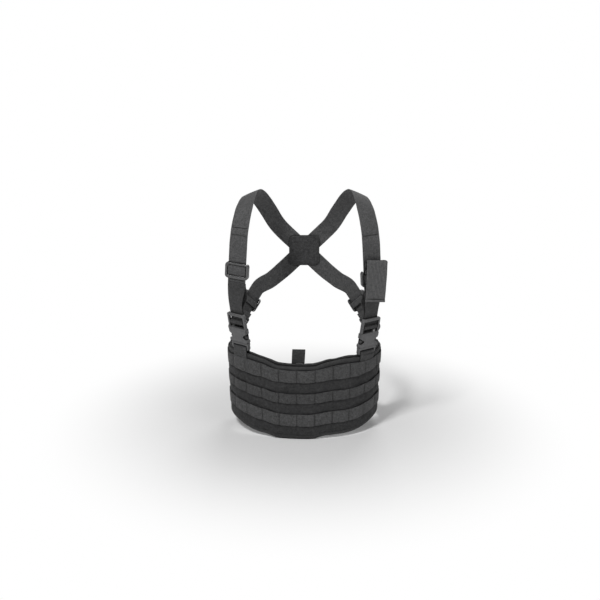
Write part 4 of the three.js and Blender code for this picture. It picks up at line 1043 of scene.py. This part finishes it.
    # the free end hangs behind the buckle and is sewn near its tip
    tail_pts = [L(y, z) for y, z in [(57, -6.9), (44, -7.2), (22, -7.6), (3, -8.0), (-8, -8.8)]]
    tail, (tpp, tw, tN, tu) = webbing("strap_tail_webbing_" + side, run_frames(tail_pts, w0), WEB, WEB_T, M_LOWER, step=2.6, wave=0.2, seed=seed + 4)
    done(tail, "socket_left" if sg > 0 else "socket_right", ["strap_tail_" + side])
    tack("stitching_tail_" + side, bvh_of(tail), tpp[-3], tw[-3], unit(tpp[-2] - tpp[-4]), f["n"], 33)

    # buckle tab: over the panel's top edge and round the plug's bar
    th_t, hw = 1.4, WEB / 2
    a, o = web_profile(WEB, th_t, 12)
    round_pts = [L(y, z) for y, z in [(-18.6, 4.9), (-16.4, 4.6), (-12.2, 4.6), (-10.5, 2.9), (-10.2, 0), (-10.5, -2.9), (-12.2, -4.6), (-16.4, -4.6), (-18.6, -4.9)]]
    rf = run_frames(round_pts, f["w"], panel(sg * TAB_S[sg], PANEL_H, 2.4), panel(sg * TAB_S[sg], PANEL_H, -8.6))
    on = lambda h, t, oo: panel(sg * TAB_S[sg] + a, np.full(len(a), float(h)), t + oo * o)
    rings = [on(140, 1.75, 1), on(151.4, 1.9, 1), on(155, 2.5, 1), on(PANEL_H + 1.8, 2.6, 1)]
    rings += [p_ + np.outer(a, w_) + np.outer(o, n_) for p_, w_, n_, _ in rf]
    rings += [on(PANEL_H + 5.0, -8.6, -1), on(PANEL_H - 4, -8.7, -1), on(120, -8.6, -1)]
    rings = np.stack(rings)
    c = rings.mean(1)
    Lc = np.concatenate([[0], np.cumsum(np.linalg.norm(np.diff(c, axis=0), axis=1))])
    xx = [0.0]
    for a_, b_ in zip(Lc[:-1], Lc[1:]):
        kk = max(1, int(math.ceil((b_ - a_) / 1.8)))
        xx += list(a_ + (b_ - a_) * (np.arange(kk) + 1) / kk)
    xx = np.array(xx)
    V, F, UV = loft(hermite_series(rings, Lc, xx), xx, a + WEB / 2)
    tabp = make("buckle_tab_webbing_" + side, V, F, UV, M_LOOPWEB)
    done(tabp, "vest", ["buckle_tab_" + side])
    ttree = bvh_of(tabp)
    s_ = np.linspace(sg * TAB_S[sg] - 16.5, sg * TAB_S[sg] + 16.5, 30)
    for h in (PANEL_H - 1.4, PANEL_H - 4.6):
        running("stitching_harness", ttree, panel(s_, h, 3.0), panel_out(s_), pitch=2.6, r=0.27)
    for h in (PANEL_H - 6, PANEL_H - 38):
        running("stitching_harness", ttree, panel(s_, h, -9.2), -panel_out(s_), pitch=2.6, r=0.27)

    # rear: slider webbing and the ring's tab
    up = -rd
    MB = (R(-43, 3.1), np.cross(up, rn), up, rn)
    MR = (ring_at, np.cross(rd, rn), rd, rn)
    body_r = "slider_rear_left" if ws == "l" else "slider_rear_right"
    slider_web("slider_loop_rear_webbing_" + ws, MB, -8, body_r, "slider_loop_rear_" + ws, M_SHOULDER)
    rnd_pts = [R(y, z) for y, z in [(30, -2.6), (14, -3.2), (8.6, -3.1), (4.5, -3.05), (2.85, -1.7), (2.75, 0), (2.85, 1.7), (4.5, 3.05), (8.8, 3.1), (15, 1.9), (21, 0.4)]]
    sewn = []
    for s_v, h_v in [(207, 108), (216, 124), (225, 140), (233, 156), (238, 166)]:
        e0, e1 = panel_facet(wing * (s_v - 16.4), h_v + 9.4, -9), panel_facet(wing * (s_v + 16.4), h_v - 9.4, -9)
        sewn.append([(e0 + e1) / 2, unit(e1 - e0) * wing])
    wv = np.cross(up, rn)
    if wv.dot(sewn[0][1]) < 0:
        for q in sewn:
            q[1] = -q[1]
    fr = run_frames([q[0] for q in sewn] + rnd_pts, wv, sewn[0][0] * 2 - sewn[1][0])
    for i, q in enumerate(sewn):
        T = fr[i][3]
        w_ = unit(q[1] - T * q[1].dot(T))
        fr[i] = (fr[i][0], w_, np.cross(w_, T), T)
    rt, (rp_, rw_, rN_, ru_) = webbing("ring_tab_webbing_" + ws, fr, WEB, 1.4, M_LOOPWEB, step=2.4, wave=0.1, seed=seed + 6)
    done(rt, "vest", ["ring_tab_" + ws])
    rtree = bvh_of(rt)
    for uu in (4, 30, 46):
        i = int(np.argmin(np.abs(ru_ - uu)))
        T = unit(rp_[i + 1] - rp_[max(0, i - 1)])
        tack("stitching_harness", rtree, rp_[i], rw_[i], T, -panel_out(wing * 220), 33)
    HARNESS[side] = dict(M=M, MS=MS)
    HARNESS["rear_" + ws] = dict(MB=MB, MR=MR)

# ------------------------------------------------------------------ ribbed cover over the left slider
MSl = HARNESS["l"]["MS"]
p0, X0, Y0, Z0 = MSl
cover_pts = [(20.6, 6.6), (16, 5.6), (12.4, 5.3), (11.2, 4.4), (11.0, 3.2), (11.2, 1.95), (12.6, 1.55), (19, 1.6), (24, 3.2), (30, 6.2), (34.6, 8.6), (37.0, 9.9), (38.9, 11.2), (39.3, 12.4), (37.6, 13.6), (32, 14.0), (22, 14.5), (10, 14.9), (-5, 15.3), (-20, 15.3), (-34, 14.9), (-43.2, 14.5)]
fr = flat_run(MSl, cover_pts, 44)
p, w, nn = frame_set(fr)
p, w, nn, u = refine(p, w, nn, 1.6)
yy, zz = (p - p0) @ Y0, (p - p0) @ Z0
on_flap = smooth((zz - 9.4) / 4.0) * (yy > -60)
past = np.maximum.accumulate(on_flap)
width = 36.1 + 7.9 * past - 1.6 * smooth((20 - yy) / 64) * past
shift = 6.6 * past
thick = 0.8 + 0.75 * past
RIB = 22 / 7.5
na = 118
av = np.linspace(-1, 1, na)
rib = np.abs(np.cos(math.pi * av * 22.0 / RIB)) ** 0.7
rings = []
for i in range(len(u)):
    hw, th = width[i] / 2, thick[i]
    edge = np.clip((1 - np.abs(av)) * hw / 0.9, 0, 1) ** 0.5
    a = av * hw
    bow_ = 0.9 * past[i] * (1 - av ** 2) * smooth((30 - yy[i]) / 30) + 0.25 * past[i] * math.sin(yy[i] * 0.17) * np.cos(av * 2.2 + 0.6)
    sgn = 1.0
    outer = th / 2 * edge + (0.34 * rib * past[i] + 0.06 * rib) * edge
    inner = -th / 2 * edge
    lean = shift[i] + past[i] * 0.1 * (yy[i] - 38)
    slope_ = np.outer(-0.2 * past[i] * a, Y0)
    A_ = p[i] + np.outer(a + lean, X0) + np.outer(outer + bow_, nn[i]) + slope_
    B_ = p[i] + np.outer(a + lean, X0) + np.outer(inner + bow_, nn[i]) + slope_
    rings.append(np.concatenate([A_, B_[::-3]]))
va = (av + 1) * 22
V, F, UV = loft(np.stack(rings), u, np.concatenate([va, va[::-3]]))
cover = make("slider_cover_elastic", V, F, UV, M_ELASTIC, sharp=60)
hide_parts("cover_loop", "cover_flap")
cn = float(np.dot(nn[-1], Z0))
hem_pts = [(-42.8, 14.5), (-45.2, 14.55), (-47.4, 14.5)]
hp, hw_, hn = frame_set(flat_run(MSl, hem_pts, 44))
hp, hw_, hn, hu = refine(hp, hw_, hn, 0.7)
a, o = web_profile(42.9, 2.5, 20)
hy = (hp - p0) @ Y0
rings = [hp[i] + np.outer(a + 6.6 + 0.1 * (hy[i] - 38), X0) + np.outer(o * (0.8 + 0.2 * math.sin(math.pi * i / (len(hp) - 1))) + 0.9 * np.sign(cn) * (1 - (a / 21.5) ** 2), hn[i]) + np.outer(-0.2 * a, Y0) for i in range(len(hp))]
V, F, UV = loft(np.stack(rings), hu, a + 22)
hem = make("slider_cover_hem", V, F, UV, M_HEM)
done(hem, "cover", ["cover_hem"])
ctree = bvh_of(hem)
x = np.linspace(-20, 20, 40)[:, None]
running("stitching_cover", ctree, p0 + X0 * (x - 1.7) - Y0 * (44.9 + 0.2 * x) + Z0 * 15.4, np.broadcast_to(Z0, (40, 3)), pitch=2.4, r=0.25)
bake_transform(cover)

# ------------------------------------------------------------------ centre pull tab
T0, TAB_HINGE = -8.5, PANEL_H + 3.4
s_mid = CENTRE_S + 2
a, o = web_profile(TAB_W, 1.3, 10)
hs = np.linspace(PANEL_H - 34, TAB_HINGE - 0.3, 22)
rings = np.stack([panel(s_mid + a, np.full(len(a), h), T0 + o) for h in hs])
V, F, UV = loft(rings, hs, a + TAB_W / 2)
tab_base = make("pull_tab_base_webbing", V, F, UV, M_TAB)
done(tab_base, "vest", ["pull_tab_base"])
tt = bvh_of(tab_base)
s_ = np.linspace(s_mid - 11, s_mid + 11, 24)
for h in (PANEL_H - 31, PANEL_H - 12):
    running("stitching_bindings", tt, panel(s_, h, T0), -panel_out(s_), pitch=2.6, r=0.26)
at = panel_facet(s_mid, TAB_HINGE, T0)
out_ = panel_out(s_mid)
upw = vec(0, 0, 1)
MT = (at, np.cross(upw, out_), upw, out_)
top = 31.5
pts = [(0.2, 0), (6, -0.1), (12, 0), (20, 0.2), (top - 4, 0.4), (top - 1.2, 1.2), (top - 0.2, 3.2), (top - 1.2, 5.2), (top - 4, 6), (20, 5.4), (14, 4.0), (8, 2.6), (1.0, 1.7)]
tab_fr = [(q[0] + MT[1] * (0.055 * float((q[0] - at) @ upw) + 0.6), q[1], q[2], q[3]) for q in flat_run(MT, pts, TAB_W)]
tab, (tp_, tw_, tn_, tu_) = webbing("pull_tab_webbing", tab_fr, TAB_W, 1.25, M_TAB, step=1.5, wave=0.1, seed=81, n=10)
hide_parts("pull_tab")
TAB_BEND = (tuple((at + upw * 3 + SHIFT) / 1000), tuple((at + upw * 14 + SHIFT) / 1000))
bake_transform(tab)
ttree = bvh_of(tab)
for y in (4.2, 9.0):
    x = np.linspace(-11, 11, 24)[:, None]
    running("stitching_tab", ttree, at + MT[1] * x + upw * y + out_ * 3, np.broadcast_to(out_, (24, 3)), pitch=2.4, r=0.26)

# ------------------------------------------------------------------ patches over the crossing
for nm, node, ym, sgn in (("cross_patch_inner_cloth", "cross_patch_inner", 116.0, -1), ("cross_patch_outer_cloth", "cross_patch_outer", 122.1, 1)):
    n_ = 46
    g = np.linspace(-1, 1, n_)
    A_, B_ = np.meshgrid(g, g, indexing="ij")
    # a square with rounded corners, drawn from a grid
    r_ = 0.28
    def squircle(a, b):
        m = np.maximum(np.abs(a), np.abs(b)) + 1e-9
        l = (np.abs(a) ** 7 + np.abs(b) ** 7) ** (1 / 7) + 1e-9
        return a * m / l * 1.0, b * m / l * 1.0
    a2, b2 = squircle(A_, B_)
    xs, zs = a2 * 34.0, b2 * 34.0
    e = np.clip((1 - np.maximum(np.abs(A_), np.abs(B_))) * 34 / 1.1, 0, 1) ** 0.5
    inner_sq = 1 - np.exp(-((np.maximum(np.abs(A_), np.abs(B_)) - 0.88) / 0.035) ** 2)
    diag = 1 - 0.8 * np.exp(-((np.abs(np.abs(A_) - np.abs(B_))) / 0.05) ** 2)
    over = 0.55 * inner_sq * diag * smooth((0.97 - np.maximum(np.abs(A_), np.abs(B_))) / 0.2)
    tone = 0.12 * ripple(xs + 0.7 * zs, 90 + sgn)
    yf = ym + sgn * (0.8 * e + over * 0.9 + tone * e)
    yb = ym - sgn * 0.75 * e
    fr_ = np.stack([xs, yf, CROSS_Z + zs], -1)
    bk_ = np.stack([xs, yb, CROSS_Z + zs], -1)
    V, F, UV = slab(fr_, bk_, xs + 40, zs + 40)
    ob = make(nm, V, F, UV, M_PATCH, sharp=70)
    done(ob, "vest", [node])
    tr = bvh_of(ob)
    box_stitch("stitching_harness", tr, vec(-29.5, ym, CROSS_Z - 29.5), vec(59, 0, 0), vec(0, 0, 59), vec(0, sgn, 0), pitch=3.2)

# ------------------------------------------------------------------ waist belt
BELT_H = 40.0
beltZ = float(panel_facet(250, BELT_H, 0)[2])
mouth = vec(27, 98.5, beltZ)
WX, WY, WZ = vec(0, 0, -1), vec(-1, 0, 0), vec(0, 1, 0)
MW = (mouth, WX, WY, WZ)
Lw = lambda y, z: mouth + WY * y + WZ * z


def belt(side_, last):
    out = []
    for i in range(11, last + 1):
        t = -8.8 + 7.2 * float(smooth((i - 13) / 5))
        q = panel_facet(side_ * i * FACET, BELT_H, t)
        out.append(vec(q[0], q[1], beltZ))
    return out


plug_end = [Lw(y, z) for y, z in [(-40, 3.8), (-20, 4.5), (-16.4, 4.6), (-12.2, 4.6), (-10.5, 2.9), (-10.2, 0), (-10.5, -2.9), (-12.2, -4.6), (-16.4, -4.6), (-21, -4), (-40, 0.6)]]
wl, (wp, ww_, wn_, wu) = webbing("waist_webbing_l", run_frames(belt(1, 16) + plug_end, WX), WEB, 1.4, M_BELT, step=2.6, wave=0.25, seed=101, cup=0.15)
done(wl, "vest", ["waist_strap_l"])
wt = bvh_of(wl)
for xq in (52, 44, 64):
    tack("stitching_harness", wt, vec(xq, 98.5, beltZ), WX, WY, WZ, 33)
sock_end = [Lw(y, z) for y, z in [(74, -1.9), (57, -1.9), (53, -2.1), (49.5, -2.4), (47.4, -1.6), (46.4, 0), (46.0, 1.6), (44.9, 2.6), (42.5, 2.95), (40.1, 2.6), (38.9, 1.6), (38.4, 0), (38.8, -1.7), (40.1, -2.8), (44, -3.9), (49, -4.5), (56, -4.7), (70, -5.0), (86, -5.6), (112, -8.6)]]
wr, (rp2, rw2, rn2, ru2) = webbing("waist_webbing_r", run_frames(belt(-1, 17) + sock_end, -WX), WEB, 1.4, M_BELT, step=2.6, wave=0.25, seed=103, cup=0.1)
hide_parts("waist_strap_r")
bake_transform(wr)


# ------------------------------------------------------------------ moulded parts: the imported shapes, softened as moulding does
def read_local(node, M_):
    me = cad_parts[node].data
    co = np.zeros(len(me.vertices) * 3, np.float32)
    me.vertices.foreach_get("co", co)
    co = co.reshape(-1, 3).astype(float) * 1000 - SHIFT
    p_, X, Y, Z = M_
    q = co - p_
    return np.stack([q @ X, q @ Y, q @ Z], -1), [tuple(f.vertices) for f in me.polygons]


def prism(pts, z0, z1):
    """A closed prism of a polygon in the part's own frame."""
    n = len(pts)
    V = [(x, y, z0) for x, y in pts] + [(x, y, z1) for x, y in pts]
    F = [tuple(range(n))[::-1], tuple(range(n, 2 * n))] + [(i, (i + 1) % n, n + (i + 1) % n, n + i) for i in range(n)]
    return np.array(V, float), F


_soft = {}


def soften(key, V, F, extras=(), voxel=0.5, rounds=5, keep=0.5):
    """Rounded, closed mesh of a moulded part in its own frame, in mm."""
    if key in _soft:
        return _soft[key]
    VV, FF = [np.asarray(V, float)], list(F)
    k = len(V)
    for ev, ef in extras:
        VV.append(ev)
        FF += [tuple(i + k for i in f) for f in ef]
        k += len(ev)
    me = bpy.data.meshes.new("soft_" + key)
    me.from_pydata(np.concatenate(VV).tolist(), [], FF)
    bm = bmesh.new()
    bm.from_mesh(me)
    bmesh.ops.remove_doubles(bm, verts=bm.verts, dist=1e-3)
    bmesh.ops.recalc_face_normals(bm, faces=bm.faces)
    bm.to_mesh(me)
    bm.free()
    ob = bpy.data.objects.new("soft_" + key, me)
    scene.collection.objects.link(ob)
    r = ob.modifiers.new("r", "REMESH")
    r.mode = "VOXEL"
    r.voxel_size = voxel
    s = ob.modifiers.new("s", "SMOOTH")
    s.factor = 0.5
    s.iterations = rounds
    d = ob.modifiers.new("d", "DECIMATE")
    d.decimate_type = "COLLAPSE"
    d.ratio = keep
    ev = ob.evaluated_get(bpy.context.evaluated_depsgraph_get())
    em = ev.to_mesh()
    co = np.zeros(len(em.vertices) * 3, np.float32)
    em.vertices.foreach_get("co", co)
    out = (co.reshape(-1, 3).astype(float), [tuple(f.vertices) for f in em.polygons])
    ev.to_mesh_clear()
    bpy.data.objects.remove(ob)
    _soft[key] = out
    return out


def mould(name, node, key, M_, body, mat, extras=(), voxel=0.5, rounds=5, keep=0.5):
    V, F = read_local(node, M_)
    V, F = soften(key, V, F, extras, voxel, rounds, keep)
    p_, X, Y, Z = M_
    W = p_ + np.outer(V[:, 0], X) + np.outer(V[:, 1], Y) + np.outer(V[:, 2], Z)
    ob = make(name, W, F, V[:, :2], mat, sharp=60, recalc=False)
    return done(ob, body, [node])


# raised shield on the socket's face and back, ridges on its ladder's end
shield = [(-10.5, 4.4), (10.5, 4.4), (13.2, 6.4), (11.2, 9.6), (10.4, 12.6), (11.4, 16), (15.8, 19.4), (18.2, 22), (18.2, 26.2), (15.8, 28), (-15.8, 28), (-18.2, 26.2), (-18.2, 22), (-15.8, 19.4), (-11.4, 16), (-10.4, 12.6), (-11.2, 9.6), (-13.2, 6.4)]
socket_extras = [prism(shield, 4.8, 6.15), prism([(-x, y) for x, y in shield][::-1], -6.1, -4.8)]
for i in range(3):
    y = 58.2 + i * 1.6
    socket_extras.append(prism([(-17, y), (17, y), (17, y + 0.75), (-17, y + 0.75)], 3.0, 3.85))
plug_extras = [prism([(-12, -16.4), (12, -16.4), (12, -15.4), (-12, -15.4)], 3.0, 3.8), prism([(-12, -14.6), (12, -14.6), (12, -13.6), (-12, -13.6)], 3.0, 3.8)]
arm_a = [prism([(22.2 + 0.9 * k2, 11.4 + 2.0 * k2), (23.6 - 0.35 * k2, 11.4 + 2.0 * k2), (23.6 - 0.35 * k2, 12.2 + 2.0 * k2), (22.0, 12.2 + 2.0 * k2)], -2.2, 2.2) for k2 in (0,)]
for side, where, sg in (("l", "left", 1), ("r", "right", -1), ("waist", "waist", 0)):
    M_ = MW if side == "waist" else HARNESS[side]["M"]
    node = lambda a, b: ("waist_" + b) if side == "waist" else (a + "_" + side)
    mould("socket_body_" + side, node("buckle_socket", "socket"), "socket", M_, "socket_" + where, M_PLASTIC, socket_extras, voxel=0.42, rounds=4, keep=0.42)
    mould("plug_body_" + side, node("buckle_plug", "plug"), "plug", M_, "vest", M_PLASTIC, plug_extras, voxel=0.42, rounds=4, keep=0.42)
    for ab in "ab":
        nd = "waist_latch_arm_" + ab if side == "waist" else "latch_arm_%s_%s" % (side, ab)
        mould("latch_arm_body_%s_%s" % (side, ab), nd, "arm_" + ab, M_, "latch_%s_%s" % (where, ab), M_ARM_SHADED, voxel=0.4, rounds=3, keep=0.5)
for side, where in (("l", "left"), ("r", "right")):
    mould("slider_body_front_" + side, "slider_front_" + side, "slider", HARNESS[side]["MS"], "slider_front_" + where, M_SLIDER, voxel=0.42, rounds=7, keep=0.45)
    mould("slider_body_rear_" + side, "slider_rear_" + side, "slider", HARNESS["rear_" + side]["MB"], "slider_rear_" + where, M_SLIDER, voxel=0.42, rounds=7, keep=0.45)
    mould("ring_body_" + side, "rear_ring_" + side, "ring", HARNESS["rear_" + side]["MR"], "vest", M_SLIDER, voxel=0.42, rounds=5, keep=0.45)

# ------------------------------------------------------------------ threads
build_stitches("stitching_rows", M_THREAD, "vest")
build_stitches("stitching_bindings", M_THREAD_DARK, "vest")
build_stitches("stitching_harness", M_THREAD, "vest")
build_stitches("stitching_tail_l", M_THREAD, "socket_left")
build_stitches("stitching_tail_r", M_THREAD, "socket_right")
build_stitches("stitching_cover", M_THREAD, "cover")
build_stitches("stitching_tab", M_THREAD_DARK, "pull_tab", TAB_BEND)

# ------------------------------------------------------------------ stage, light, camera
T = Mat("studio_floor")
col = T.shade(T.m("ADD", 0.86, T.m("MULTIPLY", T.noise(3.0, 2, 0.5), 0.02)))
T.finish(col, 0.7, None, 0.0, sheen=0.0, spec=0.1, painted_shade_reach=0)
# the sweep: the floor melts into the white backdrop away from the object
bs = [n for n in T.nt.nodes if n.type == "BSDF_PRINCIPLED"][0]
em = T.node("ShaderNodeEmission", Strength=1.0)
em.inputs["Color"].default_value = (1, 1, 1, 1)
mx = T.node("ShaderNodeMixShader")
lp0 = T.node("ShaderNodeLightPath")
ln = T.node("ShaderNodeVectorMath", {"operation": "LENGTH"})
T.nt.links.new(T.tc().outputs["Object"], ln.inputs[0])
far = T.m("DIVIDE", T.m("SUBTRACT", ln.outputs["Value"], 0.17), 0.42, clamp=True)
far = T.m("MULTIPLY", T.m("MULTIPLY", far, far), T.m("SUBTRACT", 3.0, T.m("MULTIPLY", far, 2.0)))
T.nt.links.new(T.m("MULTIPLY", far, lp0.outputs["Is Camera Ray"]), mx.inputs[0])
T.nt.links.new(bs.outputs[0], mx.inputs[1])
T.nt.links.new(em.outputs[0], mx.inputs[2])
T.nt.links.new(mx.outputs[0], T.out.inputs["Surface"])
me = bpy.data.meshes.new("floor")
g = 9.0
me.from_pydata([(-g, -g, -0.0006), (g, -g, -0.0006), (g, g, -0.0006), (-g, g, -0.0006)], [], [(0, 1, 2, 3)])
floor = bpy.data.objects.new("floor", me)
me.materials.append(T.mat)
scene.collection.objects.link(floor)

world = bpy.data.worlds.new("studio")
scene.world = world
world.use_nodes = True
wt_ = world.node_tree
wt_.nodes.clear()
wo = wt_.nodes.new("ShaderNodeOutputWorld")
bg_light, bg_seen, mix, lp = wt_.nodes.new("ShaderNodeBackground"), wt_.nodes.new("ShaderNodeBackground"), wt_.nodes.new("ShaderNodeMixShader"), wt_.nodes.new("ShaderNodeLightPath")
bg_light.inputs["Color"].default_value = (1, 1, 1, 1)
bg_light.inputs["Strength"].default_value = 0.25
bg_seen.inputs["Color"].default_value = (1, 1, 1, 1)
bg_seen.inputs["Strength"].default_value = 1.0
wt_.links.new(lp.outputs["Is Camera Ray"], mix.inputs[0])
wt_.links.new(bg_light.outputs[0], mix.inputs[1])
wt_.links.new(bg_seen.outputs[0], mix.inputs[2])
wt_.links.new(mix.outputs[0], wo.inputs["Surface"])


def area(name, loc, aim, size, power, tint=(1, 1, 1)):
    li = bpy.data.lights.new(name, "AREA")
    li.shape = "SQUARE"
    li.size = size
    li.energy = power
    li.color = tint
    ob = bpy.data.objects.new(name, li)
    ob.location = loc
    ob.rotation_mode = "QUATERNION"
    ob.rotation_quaternion = (Vector(aim) - Vector(loc)).to_track_quat("-Z", "Y")
    scene.collection.objects.link(ob)
    return ob


area("key", (-0.8, -1.3, 2.2), (0, 0, 0.25), 0.45, 34)
area("fill", (1.7, -1.5, 0.9), (0, 0, 0.25), 1.2, 9)
area("rim", (0.5, 1.9, 1.8), (0, 0, 0.3), 1.2, 14)

cam = bpy.data.cameras.new("camera")
cam.lens, cam.sensor_width = 52.70, 36.0
cam.clip_start, cam.clip_end = 0.05, 60
co_ = bpy.data.objects.new("camera", cam)
co_.location = tuple((vec(-9.5, -1814.0, 777.06) + SHIFT) / 1000)
co_.rotation_euler = (math.radians(74.35), 0, 0)
scene.collection.objects.link(co_)
scene.camera = co_
scene.view_settings.view_transform = "Standard"
scene.view_settings.look = "None"
